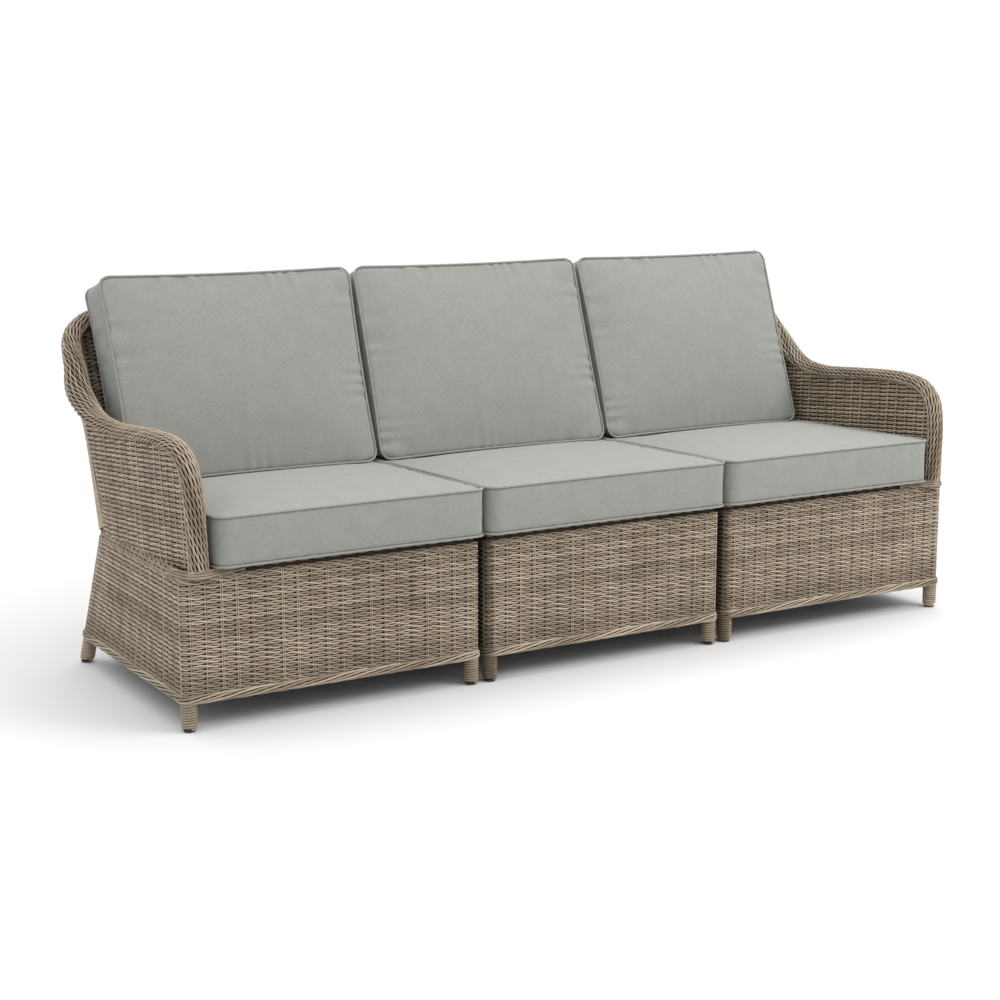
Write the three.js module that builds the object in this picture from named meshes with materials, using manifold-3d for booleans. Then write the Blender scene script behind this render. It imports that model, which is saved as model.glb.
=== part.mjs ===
// A three-seat garden sofa of woven synthetic rattan on a welded tube frame, with loose cushions.
// Three modules stand side by side: an end module with an arm, a plain middle one, and the mirrored end.
// Millimetres, +Z up, the sofa faces -Y. Each module is built from its outer front corner on the floor.
import * as THREE from 'three';
import { mergeVertices } from 'three/addons/utils/BufferGeometryUtils.js';
import Module from 'manifold-3d';

const wasm = await Module();
wasm.setup();

// Plan
const endWidth = 726;
const middleWidth = 668;
const moduleGap = 12;
const baseDepth = 662;
const waistDepth = 605;
const waistInset = 30;
const cornerRadius = 20;

// Heights
const clearHeight = 61;
const seatHeight = 350;
const seatRake = 0.0283;
const armRise = 255;
const backRise = 216;

// Frame tubes
const legRadius = 10;
const railRadius = 11;
const lowRailRadius = 8;
const legInset = 19;
const tubeSides = 8;
const glideSides = 10;
const crossBarShares = [0.34, 0.67];

// Weave
const skin = 8;
const wrap = 4;
const legCover = 8;
const braidHeight = 22;
const braidProud = 3;

// Arm, wing and rim, whose tube starts behind the front of the base
const armCentre = 34;
const armToe = 9;
const hoopFront = 16;
const armLength = 547;
const wingLength = 227;
const cornerReach = 190;
const rimWidth = 57;
const rimDepth = 38;
const rimCheek = 7;
const postRadius = 11;

// Feet, clips and deck
const glideRadius = 13;
const glideHeight = 5;
const clipLength = 40;
const clipPlate = 4;
const clipLip = 9;
const deckMargin = 21;
const deckFrame = 34;
const strapWidth = 50;
const deckColumns = 5;
const deckRows = 4;

// Cushions
const seatCushionFront = -24;
const seatCushionRear = 566;
const seatCushionThickness = 108;
const seatCushionCrown = 9;
const seatCushionArmGap = 74;
const seatCushionJointGap = 0.6;
const backCushionFoot = 505;
const backCushionHeight = 501;
const backCushionThickness = 108;
const backCushionCrown = 14;
const backCushionLean = 0.322;
const backCushionArmGap = 84;
const backCushionJointGap = 3;
const cushionCorner = 22;
const cushionDraw = 5;
const pipingRadius = 4.5;

// Clearance between pieces that touch, and how far a cutter runs past what it cuts
const clearance = 0.3;
const overrun = 40;

// Worked-out places
const rollRadius = skin + clearance + railRadius;
const lowRailInset = skin + clearance + lowRailRadius;
const lowRailHeight = clearHeight + lowRailRadius + clipPlate / 2;
const armBack = hoopFront + armLength;
const backTopDepth = armBack + wingLength;
const hoopStart = seatHeight - rollRadius;
const armTop = hoopStart + armRise;
const backTop = armTop + backRise;
const rakeAngle = Math.atan(seatRake);
const grooveRadius = (railRadius + 3 * clearance) / Math.cos(Math.PI / tubeSides);
const seatTop = (y) => seatHeight - seatRake * y;
const railHeight = (y) => seatTop(y) - rollRadius;
const totalWidth = 2 * endWidth + middleWidth + 2 * moduleGap;

// Shares of the arm's length and rise, then of the corner's reach, the wing's length and its rise
const armPathShares = [
  [0, 0],
  [0.003, 0.35],
  [0.01, 0.66],
  [0.032, 0.85],
  [0.088, 0.955],
  [0.18, 0.996],
  [0.316, 1],
  [0.572, 0.97],
  [0.8, 0.945],
];
const wingPathShares = [
  [0, 0.01, 0],
  [0, 0.34, 0.173],
  [0, 0.57, 0.4],
  [0, 0.745, 0.625],
  [0.1, 0.845, 0.825],
  [0.36, 0.93, 0.955],
  [0.74, 0.99, 0.997],
  [1, 1, 1],
];
const postMeetShare = 3;
const postKneeShare = 0.62;
const stepsPerSpan = 2;

const materials = {
  weave: new THREE.MeshStandardMaterial({ color: 0x857a6a, roughness: 0.6, metalness: 0 }),
  rim: new THREE.MeshStandardMaterial({ color: 0x877b6c, roughness: 0.55, metalness: 0 }),
  frame: new THREE.MeshStandardMaterial({ color: 0x4a443c, roughness: 0.5, metalness: 0.6 }),
  fabric: new THREE.MeshStandardMaterial({ color: 0xa8a9a3, roughness: 0.95, metalness: 0 }),
  plastic: new THREE.MeshStandardMaterial({ color: 0x1c1c1c, roughness: 0.6, metalness: 0 }),
};

const point = (x, y, z) => new THREE.Vector3(x, y, z);

// Solids: a geometry becomes a manifold, and a manifold becomes a named mesh

function solid(geometry) {
  const bare = geometry.index ? geometry.toNonIndexed() : geometry.clone();
  bare.deleteAttribute('normal');
  bare.deleteAttribute('uv');
  const merged = mergeVertices(bare, 1e-4);
  const vertProperties = new Float32Array(merged.attributes.position.array);
  const triVerts = new Uint32Array(merged.index.array);
  return new wasm.Manifold(new wasm.Mesh({ numProp: 3, vertProperties, triVerts }));
}

function geometryOf(manifold) {
  const { vertProperties, triVerts, numProp } = manifold.getMesh();
  const geometry = new THREE.BufferGeometry();
  const positions = [];
  for (let i = 0; i < vertProperties.length; i += numProp) {
    positions.push(vertProperties[i], vertProperties[i + 1], vertProperties[i + 2]);
  }
  geometry.setAttribute('position', new THREE.Float32BufferAttribute(positions, 3));
  geometry.setIndex(Array.from(triVerts));
  geometry.computeVertexNormals();
  return geometry;
}

// A cut or a join can leave slivers beside the piece itself, which is the largest body
function pieceOf(manifold) {
  return manifold.decompose().reduce((most, next) => (next.volume() > most.volume() ? next : most));
}

const joined = (solids) => pieceOf(solids.reduce((whole, next) => whole.add(next)));
const cutBy = (whole, cutters) => pieceOf(cutters.reduce((rest, cutter) => rest.subtract(cutter), whole));

function mesh(name, shape, material) {
  const geometry = shape.isBufferGeometry ? shape : geometryOf(shape);
  const made = new THREE.Mesh(geometry, material);
  made.name = name;
  return made;
}

// A closed skin over rows of points, each row a closed loop, with both ends capped
function loft(rows, capStart, capEnd) {
  const count = rows[0].length;
  const positions = rows.flat().flatMap((p) => [p.x, p.y, p.z]);
  const faces = [];
  for (let row = 0; row < rows.length - 1; row += 1) {
    for (let i = 0; i < count; i += 1) {
      const a = row * count + i;
      const b = row * count + ((i + 1) % count);
      faces.push(a, b, b + count, a, b + count, a + count);
    }
  }
  const last = (rows.length - 1) * count;
  capStart.forEach(([a, b, c]) => faces.push(c, b, a));
  capEnd.forEach(([a, b, c]) => faces.push(last + a, last + b, last + c));
  const geometry = new THREE.BufferGeometry();
  geometry.setAttribute('position', new THREE.Float32BufferAttribute(positions, 3));
  geometry.setIndex(faces);
  return geometry;
}

// A skin over rows of points that run round a ring and close on the first row
function ringLoft(rows) {
  const count = rows[0].length;
  const positions = rows.flat().flatMap((p) => [p.x, p.y, p.z]);
  const faces = [];
  rows.forEach((_, row) => {
    const here = row * count;
    const next = ((row + 1) % rows.length) * count;
    for (let i = 0; i < count; i += 1) {
      const j = (i + 1) % count;
      faces.push(here + i, here + j, next + j, here + i, next + j, next + i);
    }
  });
  const geometry = new THREE.BufferGeometry();
  geometry.setAttribute('position', new THREE.Float32BufferAttribute(positions, 3));
  geometry.setIndex(faces);
  return geometry;
}

// Tubes and sweeps

// Steps follow the chosen points, which lie closer where the path bends
class HandPath extends THREE.CatmullRomCurve3 {
  getUtoTmapping(u) {
    return u;
  }
}

const pathSteps = (path) => (path.points ? (path.points.length - 1) * stepsPerSpan : 1);

function circle(radius, hole) {
  const ring = (r) => Array.from({ length: tubeSides }, (_, i) => {
    const turn = (2 * Math.PI * (i + 0.5)) / tubeSides;
    return new THREE.Vector2(r * Math.cos(turn), r * Math.sin(turn));
  });
  const shape = new THREE.Shape(ring(radius));
  if (hole) shape.holes.push(new THREE.Path(ring(hole).reverse()));
  return shape;
}

function tubeAlong(path, radius, hole) {
  const options = { steps: pathSteps(path), bevelEnabled: false, extrudePath: path };
  return new THREE.ExtrudeGeometry(circle(radius, hole), options);
}

const rod = (from, to, radius) => tubeAlong(new THREE.LineCurve3(from, to), radius);

// Sweeps a section whose points are [across, outward], with across level and pointing into the seat
function sweep(path, section) {
  const steps = pathSteps(path);
  const rows = Array.from({ length: steps + 1 }, (_, i) => {
    const at = path.getPointAt(i / steps);
    const along = path.getTangentAt(i / steps);
    const across = point(along.y, -along.x, 0).normalize();
    const outward = new THREE.Vector3().crossVectors(across, along).normalize();
    return section.map(([a, b]) => at.clone().addScaledVector(across, a).addScaledVector(outward, b));
  });
  const flat = section.map(([a, b]) => new THREE.Vector2(a, b));
  const caps = THREE.ShapeUtils.triangulateShape(flat, []);
  return loft(rows.reverse(), caps, caps);
}

// Base

// A rounded rectangle as stations that each hold a place and the way inwards.
// Corners are given from the outer front one, turning by the front to the inner front one.
function baseOutline(corners, radius) {
  const stations = [];
  const arcSteps = 4;
  corners.forEach(([x, y], index) => {
    const quarter = (index * Math.PI) / 2;
    const inX = index === 0 || index === 3 ? 1 : -1;
    const inY = index < 2 ? 1 : -1;
    const centre = [x + inX * radius, y + inY * radius];
    for (let step = 0; step <= arcSteps; step += 1) {
      const turn = Math.PI + quarter + (step * Math.PI) / (2 * arcSteps);
      const out = [Math.cos(turn), Math.sin(turn)];
      stations.push({
        x: centre[0] + radius * out[0],
        y: centre[1] + radius * out[1],
        inward: [-out[0], -out[1]],
      });
    }
  });
  return stations;
}

const lowCorners = (width) => [[0, 0], [width, 0], [width, baseDepth], [0, baseDepth]];
const highCorners = (width, outerInset) => [
  [0, 0],
  [width, 0],
  [width, waistDepth],
  [outerInset, waistDepth],
];

// The skirt: a woven wall with a braid along its foot, rolled over the seat rail at its top
function skirt(width, outerInset) {
  const low = baseOutline(lowCorners(width), cornerRadius);
  const high = baseOutline(highCorners(width, outerInset), cornerRadius);
  const rollSteps = 4;
  const rows = low.map((foot, index) => {
    const head = high[index];
    const rollCentre = railHeight(head.y + rollRadius * foot.inward[1]);
    const place = (inset, z) => {
      const share = Math.min(1, (z - clearHeight) / (rollCentre - clearHeight));
      const mixed = (a, b) => a + share * (b - a);
      return point(
        mixed(foot.x, head.x) + inset * foot.inward[0],
        mixed(foot.y, head.y) + inset * foot.inward[1],
        z,
      );
    };
    const arc = (radius, step) => {
      const turn = (step * Math.PI) / (2 * rollSteps);
      return place(rollRadius - radius * Math.cos(turn), rollCentre + radius * Math.sin(turn));
    };
    const steps = Array.from({ length: rollSteps + 1 }, (_, i) => i);
    return [
      place(skin, clearHeight),
      ...steps.map((step) => arc(rollRadius - skin, step)),
      ...steps.map((step) => arc(rollRadius, rollSteps - step)),
      place(0, clearHeight + braidHeight),
      place(-braidProud, clearHeight + braidHeight - braidProud),
      place(-braidProud, clearHeight),
    ];
  });
  return solid(ringLoft(rows));
}

// The corner places of the legs, at the foot of the skirt and at the seat rail
function legLines(width, outerInset) {
  const low = lowCorners(width);
  const high = highCorners(width, outerInset);
  const into = [[1, 1], [-1, 1], [-1, -1], [1, -1]];
  return low.map(([x, y], index) => {
    const [inX, inY] = into[index];
    const foot = point(x + inX * legInset, y + inY * legInset, clearHeight);
    const headY = high[index][1] + inY * legInset;
    const head = point(high[index][0] + inX * legInset, headY, railHeight(headY));
    return { foot, head };
  });
}

// A place on a leg's line at a height, also below the skirt
function onLeg({ foot, head }, z) {
  return foot.clone().lerp(head, (z - foot.z) / (head.z - foot.z));
}

// A level slab that trims leaning pieces flat
function slab(low, high) {
  const reach = 2 * (endWidth + baseDepth);
  const block = new THREE.BoxGeometry(reach, reach, high - low);
  return solid(block.translate(0, 0, (low + high) / 2));
}

const belowLegs = () => slab(-overrun, glideHeight + clearance);

// Back and arm paths

const backFoot = (x) => point(x, waistDepth - legInset, railHeight(waistDepth - legInset));

// The share of the arm's rise at a height, and how far the arm stands in towards its foot there
const armShare = (z) => Math.min(1, Math.max(0, (z - hoopStart) / armRise));
const toeAt = (z) => armToe * (1 - armShare(z));

function toedIn(geometry) {
  const places = geometry.getAttribute('position');
  for (let i = 0; i < places.count; i += 1) {
    places.setX(i, places.getX(i) + toeAt(places.getZ(i)));
  }
  return geometry;
}

// The tube that rises at the front of the arm, runs back, climbs the wing and crosses the back
function armPath() {
  const arm = armPathShares.map(([y, z]) => point(
    armCentre,
    hoopFront + y * armLength,
    hoopStart + z * armRise,
  ));
  const wing = wingPathShares.map(([x, y, z]) => point(
    armCentre + x * (cornerReach - armCentre),
    armBack + y * wingLength,
    armTop + z * backRise,
  ));
  return new HandPath([...arm, ...wing, point(endWidth, backTopDepth, backTop)], false, 'centripetal');
}

const topRailPath = () => new THREE.LineCurve3(
  point(0, backTopDepth, backTop),
  point(middleWidth, backTopDepth, backTop),
);

// The outer corner post bows with the wing and meets the arm's tube below the corner
function cornerPostPath(foot) {
  const [x, y, z] = wingPathShares[postMeetShare];
  const meet = point(
    armCentre + x * (cornerReach - armCentre),
    armBack + y * wingLength,
    armTop + z * backRise,
  );
  const knee = foot.clone().lerp(meet, postKneeShare);
  knee.x = foot.x;
  return new HandPath([foot, knee, meet]);
}

const uprightPath = (x) => new THREE.LineCurve3(backFoot(x), point(x, backTopDepth, backTop));

// Frame

function baseTubes(width, outerInset) {
  const legs = legLines(width, outerInset);
  const tubes = legs.map((leg) => rod(onLeg(leg, 0), leg.head, legRadius));
  legs.forEach((leg, index) => {
    const next = legs[(index + 1) % legs.length];
    tubes.push(seatRail(leg, next, index), lowRail(leg, next, index));
  });
  crossBarShares.forEach((share) => {
    const x = share * width;
    const front = point(x, rollRadius, railHeight(rollRadius));
    const rearY = waistDepth - rollRadius;
    tubes.push(rod(front, point(x, rearY, railHeight(rearY)), railRadius));
  });
  return tubes;
}

// Each rail lies a little outside the line of the legs, and its ends are welded inside them
const railWay = [[0, -1], [1, 0], [0, 1], [-1, 0]];

function railEnd(at, way, shift, along) {
  const [outX, outY] = railWay[way];
  return point(at.x + outX * shift - along * outY, at.y + outY * shift + along * outX, at.z);
}

function seatRail(leg, next, side) {
  const shift = legInset - rollRadius;
  const weld = cornerRadius - legInset;
  const ends = [railEnd(leg.head, side, shift, weld), railEnd(next.head, side, shift, -weld)];
  ends.forEach((end) => end.setZ(railHeight(end.y)));
  return rod(...ends, railRadius);
}

// A low rail keeps clear of the leaning wall at its own top
function lowRail(leg, next, side) {
  const shift = legInset - lowRailInset;
  const weld = cornerRadius - legInset;
  const top = lowRailHeight + lowRailRadius;
  const ends = [
    railEnd(onLeg(leg, top), side, shift, weld),
    railEnd(onLeg(next, top), side, shift, -weld),
  ];
  ends.forEach((end) => end.setZ(lowRailHeight));
  return rod(...ends, lowRailRadius);
}

const endPaths = () => {
  const legs = legLines(endWidth, waistInset);
  return {
    hoop: armPath(),
    corner: cornerPostPath(legs[3].head),
    upright: uprightPath(endWidth - legInset),
  };
};

function endFrame({ hoop, corner, upright }) {
  const tubes = [
    ...baseTubes(endWidth, waistInset),
    toedIn(tubeAlong(hoop, railRadius)),
    tubeAlong(corner, postRadius),
    tubeAlong(upright, postRadius),
  ];
  return cutBy(joined(tubes.map(solid)), [belowLegs()]);
}

function middleFrame(uprights) {
  const tubes = [
    ...baseTubes(middleWidth, 0),
    tubeAlong(topRailPath(), railRadius),
    ...uprights.map((path) => tubeAlong(path, postRadius)),
  ];
  return cutBy(joined(tubes.map(solid)), [belowLegs()]);
}

// The rim: a wide bullnose with a groove that takes the upper half of the tube, with room to spare if asked
function rim(path, room = 0) {
  const crownSteps = 6;
  const grooveSteps = 4;
  const half = rimWidth / 2 + room;
  const section = [];
  for (let step = 0; step <= crownSteps; step += 1) {
    const turn = (step * Math.PI) / crownSteps;
    section.push([half * Math.cos(turn), rimCheek + (rimDepth - rimCheek + room) * Math.sin(turn)]);
  }
  section.push([-half, -room]);
  if (!room) {
    for (let step = grooveSteps; step >= 0; step -= 1) {
      const turn = (step * Math.PI) / grooveSteps;
      section.push([grooveRadius * Math.cos(turn), grooveRadius * Math.sin(turn)]);
    }
  }
  section.push([half, -room]);
  return solid(toedIn(sweep(path, section)));
}

// Everything below the seat plane, with a clearance above it
function belowSeat() {
  const reach = 2 * (endWidth + baseDepth);
  const block = new THREE.BoxGeometry(reach, reach, seatHeight);
  block.translate(0, 0, -seatHeight / 2);
  block.rotateX(-rakeAngle);
  block.translate(0, 0, seatHeight + clearance);
  return solid(block);
}

// A wrapped sleeve on a leg or a post, and the room that it takes
const sleeve = (path, radius, cover) => (
  solid(tubeAlong(path, radius + clearance + cover, radius + clearance)));
const sleeveRoom = (path) => solid(tubeAlong(path, postRadius + wrap + 2 * clearance));

// One woven side of the arm: a sheet under the rim, toed in along its foot towards the rear
function armSide(path, post, outer) {
  const steps = pathSteps(path);
  const shape = new THREE.Shape();
  shape.moveTo(hoopFront, seatHeight - overrun);
  const lastStep = (armPathShares.length + postMeetShare) * stepsPerSpan;
  for (let step = 0; step <= lastStep; step += 1) {
    const at = path.getPointAt(step / steps);
    shape.lineTo(at.y, at.z);
  }
  post.getPoints(pathSteps(post)).reverse().forEach((at) => shape.lineTo(at.y, at.z));
  const foot = post.points[0];
  shape.lineTo(foot.y, seatHeight - overrun);
  const sheet = new THREE.ExtrudeGeometry(shape, { depth: skin, bevelEnabled: false, steps: 1 });
  const near = outer ? -railRadius - clearance - skin : railRadius + clearance;
  const places = sheet.getAttribute('position');
  const face = armCentre - railRadius - clearance - skin;
  const toe = Math.min(foot.x - postRadius - wrap - face, 2 * railRadius + clearance);
  for (let i = 0; i < places.count; i += 1) {
    const [y, z, depth] = [places.getX(i), places.getY(i), places.getZ(i)];
    const drawn = outer ? Math.min(1, y / foot.y) * toe * (1 - armShare(z)) : 0;
    places.setXYZ(i, armCentre + near + depth + Math.max(drawn, toeAt(z)), y, z);
  }
  return solid(sheet);
}

// The sheet of the back, between the posts and under the rim
function backSheet(left, right) {
  const foot = backFoot(0);
  const rise = backTop - foot.z;
  const reach = backTopDepth - foot.y;
  const lean = Math.atan(reach / rise);
  const length = Math.hypot(rise, reach);
  const sheet = new THREE.BoxGeometry(right - left, skin, length);
  sheet.translate((left + right) / 2, 0, length / 2);
  sheet.rotateX(-lean);
  sheet.translate(0, foot.y, foot.z);
  return solid(sheet);
}

// The deck: flat straps crossing in a frame, on the rails and cross bars
function deck(width, outerInset) {
  const rear = waistDepth - deckMargin;
  const left = deckMargin;
  const right = width - deckMargin;
  const nip = cornerRadius / 2;
  const shape = new THREE.Shape();
  shape.moveTo(left, deckMargin + nip);
  shape.lineTo(left + nip, deckMargin);
  shape.lineTo(right - nip, deckMargin);
  shape.lineTo(right, deckMargin + nip);
  shape.lineTo(right, rear - nip);
  shape.lineTo(right - nip, rear);
  shape.lineTo(left + outerInset + nip, rear);
  shape.lineTo(left + outerInset, rear - nip);
  const sheet = new THREE.ExtrudeGeometry(shape, { depth: skin, bevelEnabled: false, steps: 1 });
  const startX = left + outerInset + deckFrame;
  const startY = deckMargin + deckFrame;
  const pitchX = (right - deckFrame - startX + strapWidth) / deckColumns;
  const pitchY = (rear - deckFrame - startY + strapWidth) / deckRows;
  const holes = [];
  for (let column = 0; column < deckColumns; column += 1) {
    for (let row = 0; row < deckRows; row += 1) {
      const hole = new THREE.BoxGeometry(pitchX - strapWidth, pitchY - strapWidth, skin + overrun);
      const x = startX + (column + 0.5) * pitchX - strapWidth / 2;
      hole.translate(x, startY + (row + 0.5) * pitchY - strapWidth / 2, skin / 2);
      holes.push(solid(hole));
    }
  }
  const plate = geometryOf(cutBy(solid(sheet), holes));
  plate.translate(0, 0, -skin);
  plate.rotateX(-rakeAngle);
  plate.translate(0, 0, seatHeight);
  return solid(plate);
}

// Feet and clips

function legWrap(leg) {
  const axis = new THREE.LineCurve3(onLeg(leg, 0), onLeg(leg, clearHeight + overrun));
  const aboveFoot = slab(clearHeight - clearance, clearHeight + 2 * overrun);
  return cutBy(sleeve(axis, legRadius, legCover), [belowLegs(), aboveFoot]);
}

function glide(leg) {
  const at = onLeg(leg, 0);
  const edge = glideHeight / 4;
  const profile = [
    [0, 0],
    [glideRadius - edge, 0],
    [glideRadius, edge],
    [glideRadius, glideHeight],
    [0, glideHeight],
  ].map(([r, z]) => new THREE.Vector2(r, z));
  const turned = new THREE.LatheGeometry(profile, glideSides);
  turned.rotateX(Math.PI / 2);
  turned.translate(at.x, at.y, 0);
  return solid(turned);
}

// A clip under two skirts, whose ends hook over the low rails on both sides
function clip() {
  const inner = lowRailInset + lowRailRadius + clearance;
  const outer = inner + clipPlate;
  const half = moduleGap / 2;
  const floor = clearHeight - clearance;
  const crest = lowRailHeight + lowRailRadius + clearance;
  const outline = [
    [-half - outer, floor - clipPlate],
    [half + outer, floor - clipPlate],
    [half + outer, crest + clipPlate],
    [half + outer - clipLip, crest + clipPlate],
    [half + outer - clipLip, crest],
    [half + inner, crest],
    [half + inner, floor],
    [-half - inner, floor],
    [-half - inner, crest],
    [-half - outer + clipLip, crest],
    [-half - outer + clipLip, crest + clipPlate],
    [-half - outer, crest + clipPlate],
  ].map(([x, z]) => new THREE.Vector2(x, z));
  const options = { depth: clipLength, bevelEnabled: false, steps: 1 };
  const made = new THREE.ExtrudeGeometry(new THREE.Shape(outline), options);
  made.rotateX(Math.PI / 2);
  return made.translate(0, (baseDepth + clipLength) / 2, 0);
}

// Cushions

// Places round a cushion's edge: rounded corners, and sides drawn in between them
function cushionEdge(width, length, inset, draw) {
  const places = [];
  const radius = cushionCorner;
  const cornerSteps = 2;
  const sideSteps = 4;
  const corners = [[0, 0], [width, 0], [width, length], [0, length]];
  const into = [[1, 1], [-1, 1], [-1, -1], [1, -1]];
  corners.forEach(([x, y], index) => {
    const [inX, inY] = into[index];
    const centre = [x + inX * radius, y + inY * radius];
    for (let step = 0; step <= cornerSteps; step += 1) {
      const turn = Math.PI + (index * Math.PI) / 2 + (step * Math.PI) / (2 * cornerSteps);
      const reach = radius - inset;
      places.push([centre[0] + reach * Math.cos(turn), centre[1] + reach * Math.sin(turn)]);
    }
    const alongX = index % 2 === 0;
    const side = (alongX ? width : length) - 2 * radius;
    const way = index < 2 ? 1 : -1;
    for (let step = 1; step < sideSteps; step += 1) {
      const share = step / sideSteps;
      const sink = inset + 4 * draw * share * (1 - share);
      if (alongX) places.push([centre[0] + way * share * side, y + inY * sink]);
      else places.push([x + inX * sink, centre[1] + way * share * side]);
    }
  });
  return places;
}

// A boxed cushion on its flat side: piping along both edges, a tight waist and a crowned face
function cushion(width, length, thickness, crown, draw, place) {
  const bead = pipingRadius;
  const crownShares = [0.94, 0.78, 0.45];
  const flatShares = [0.45, 0.94];
  const levels = [
    [1.5 * bead, 0],
    [bead / 2, 0],
    [0, bead],
    [1.5 * bead, 2 * bead],
    [1.5 * bead, thickness - 2 * bead],
    [0, thickness - bead],
    [bead / 2, thickness + bead / 2],
    [1.5 * bead, thickness],
  ];
  const middle = [width / 2, length / 2];
  const drawnTo = (share, height) => cushionEdge(width, length, 0, draw).map(([a, b]) => place(
    middle[0] + share * (a - middle[0]),
    middle[1] + share * (b - middle[1]),
    height,
  ));
  const rows = [
    ...flatShares.map((share) => drawnTo(share, 0)),
    ...levels.map(([inset, height]) => (
      cushionEdge(width, length, inset, draw).map(([a, b]) => place(a, b, height)))),
    ...crownShares.map((share) => drawnTo(share, thickness + crown * (1 - share ** 3))),
  ];
  const count = rows[0].length;
  const fan = (centre) => Array.from({ length: count }, (_, i) => [i, (i + 1) % count, centre]);
  const total = rows.length * count;
  const geometry = loft(rows, [], []);
  const positions = Array.from(geometry.getAttribute('position').array);
  const bottomCentre = place(...middle, 0);
  const topCentre = place(...middle, thickness + crown);
  positions.push(bottomCentre.x, bottomCentre.y, bottomCentre.z, topCentre.x, topCentre.y, topCentre.z);
  const faces = Array.from(geometry.index.array);
  fan(total).forEach(([a, b, c]) => faces.push(b, a, c));
  fan(total + 1).forEach(([a, b, c]) => faces.push(total - count + a, total - count + b, c));
  geometry.setAttribute('position', new THREE.Float32BufferAttribute(positions, 3));
  geometry.setIndex(faces);
  return solid(geometry);
}

// The flat place that a back cushion presses into the seat cushion, or that it stands on
function pressedPlane() {
  const reach = 2 * (endWidth + baseDepth);
  const top = seatTop(0) + clearance + seatCushionThickness;
  const block = new THREE.BoxGeometry(reach, reach, seatHeight);
  block.translate(0, backCushionFoot - backCushionCrown + reach / 2, seatHeight / 2);
  block.rotateX(-rakeAngle);
  block.translate(0, 0, top);
  return solid(block);
}

function seatCushion(from, to) {
  const length = seatCushionRear - seatCushionFront;
  const place = (a, b, c) => {
    const y = seatCushionFront + b;
    return point(from + a, y, seatTop(y) + clearance + c);
  };
  const whole = cushion(to - from, length, seatCushionThickness, seatCushionCrown, cushionDraw / 2, place);
  return whole.subtract(pressedPlane());
}

// A back cushion leans on its foot, which is pressed flat on the seat cushion
function backCushion(from, to) {
  const lean = backCushionLean;
  const foot = seatTop(backCushionFoot) + 2 * clearance + seatCushionThickness;
  const press = backCushionThickness * (Math.tan(lean) - seatRake / Math.cos(lean));
  const place = (a, b, c) => {
    const behind = backCushionThickness - c;
    const up = b + (1 - b / backCushionHeight) * press * (behind / backCushionThickness);
    return point(
      from + a,
      backCushionFoot + up * Math.sin(lean) + behind * Math.cos(lean),
      foot + up * Math.cos(lean) - behind * Math.sin(lean),
    );
  };
  const whole = cushion(
    to - from,
    backCushionHeight,
    backCushionThickness,
    backCushionCrown,
    cushionDraw,
    place,
  );
  return whole.subtract(belowBackCushion());
}

// Everything below the place where the back cushions stand
function belowBackCushion() {
  const reach = 2 * (endWidth + baseDepth);
  const block = new THREE.BoxGeometry(reach, reach, seatHeight);
  block.translate(0, 0, -seatHeight / 2);
  block.rotateX(-rakeAngle);
  block.translate(0, 0, seatTop(0) + 2 * clearance + seatCushionThickness);
  return solid(block);
}

// Modules

const sides = ['front_outer', 'front_inner', 'rear_inner', 'rear_outer'];
const middleSides = ['front_left', 'front_right', 'rear_right', 'rear_left'];

function feet(name, width, outerInset, corners) {
  return legLines(width, outerInset).flatMap((leg, index) => [
    mesh(`${name}_leg_wrap_${corners[index]}`, legWrap(leg), materials.weave),
    mesh(`${name}_glide_${corners[index]}`, glide(leg), materials.plastic),
  ]);
}

function base(name, width, outerInset, tubes) {
  return [
    mesh(`${name}_base_skirt`, cutBy(skirt(width, outerInset), tubes), materials.weave),
    mesh(`${name}_seat_deck`, cutBy(deck(width, outerInset), tubes), materials.weave),
  ];
}

function endModule(name) {
  const paths = endPaths();
  const group = new THREE.Group();
  const room = [
    solid(toedIn(tubeAlong(paths.hoop, railRadius + 2 * clearance))),
    solid(tubeAlong(paths.corner, postRadius + 2 * clearance)),
    solid(tubeAlong(paths.upright, postRadius + 2 * clearance)),
  ];
  const rimRoom = rim(paths.hoop, 2 * clearance);
  const ground = belowSeat();
  const cornerRoom = sleeveRoom(paths.corner);
  const uprightRoom = sleeveRoom(paths.upright);
  group.add(
    mesh(`${name}_frame`, endFrame(paths), materials.frame),
    ...base(name, endWidth, waistInset, room),
    mesh(`${name}_rim`, cutBy(rim(paths.hoop), [ground, room[1], room[2]]), materials.rim),
    mesh(
      `${name}_arm_outer_side`,
      cutBy(armSide(paths.hoop, paths.corner, true), [ground, rimRoom, cornerRoom, room[0]]),
      materials.weave,
    ),
    mesh(
      `${name}_arm_inner_side`,
      cutBy(armSide(paths.hoop, paths.corner, false), [ground, rimRoom, cornerRoom, room[0]]),
      materials.weave,
    ),
    mesh(
      `${name}_corner_post_wrap`,
      cutBy(sleeve(paths.corner, postRadius, wrap), [ground, rimRoom, room[0]]),
      materials.rim,
    ),
    mesh(
      `${name}_inner_post_wrap`,
      cutBy(sleeve(paths.upright, postRadius, wrap), [ground, rimRoom, room[0]]),
      materials.rim,
    ),
    mesh(
      `${name}_back_weave`,
      cutBy(
        backSheet(paths.corner.points[0].x, endWidth - legInset),
        [ground, rimRoom, cornerRoom, uprightRoom, room[0], room[1]],
      ),
      materials.weave,
    ),
    ...feet(name, endWidth, waistInset, sides),
    mesh(
      `${name}_seat_cushion`,
      seatCushion(seatCushionArmGap, endWidth + moduleGap / 2 - seatCushionJointGap),
      materials.fabric,
    ),
    mesh(
      `${name}_back_cushion`,
      backCushion(backCushionArmGap, endWidth + moduleGap / 2 - backCushionJointGap),
      materials.fabric,
    ),
  );
  return group;
}

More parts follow.
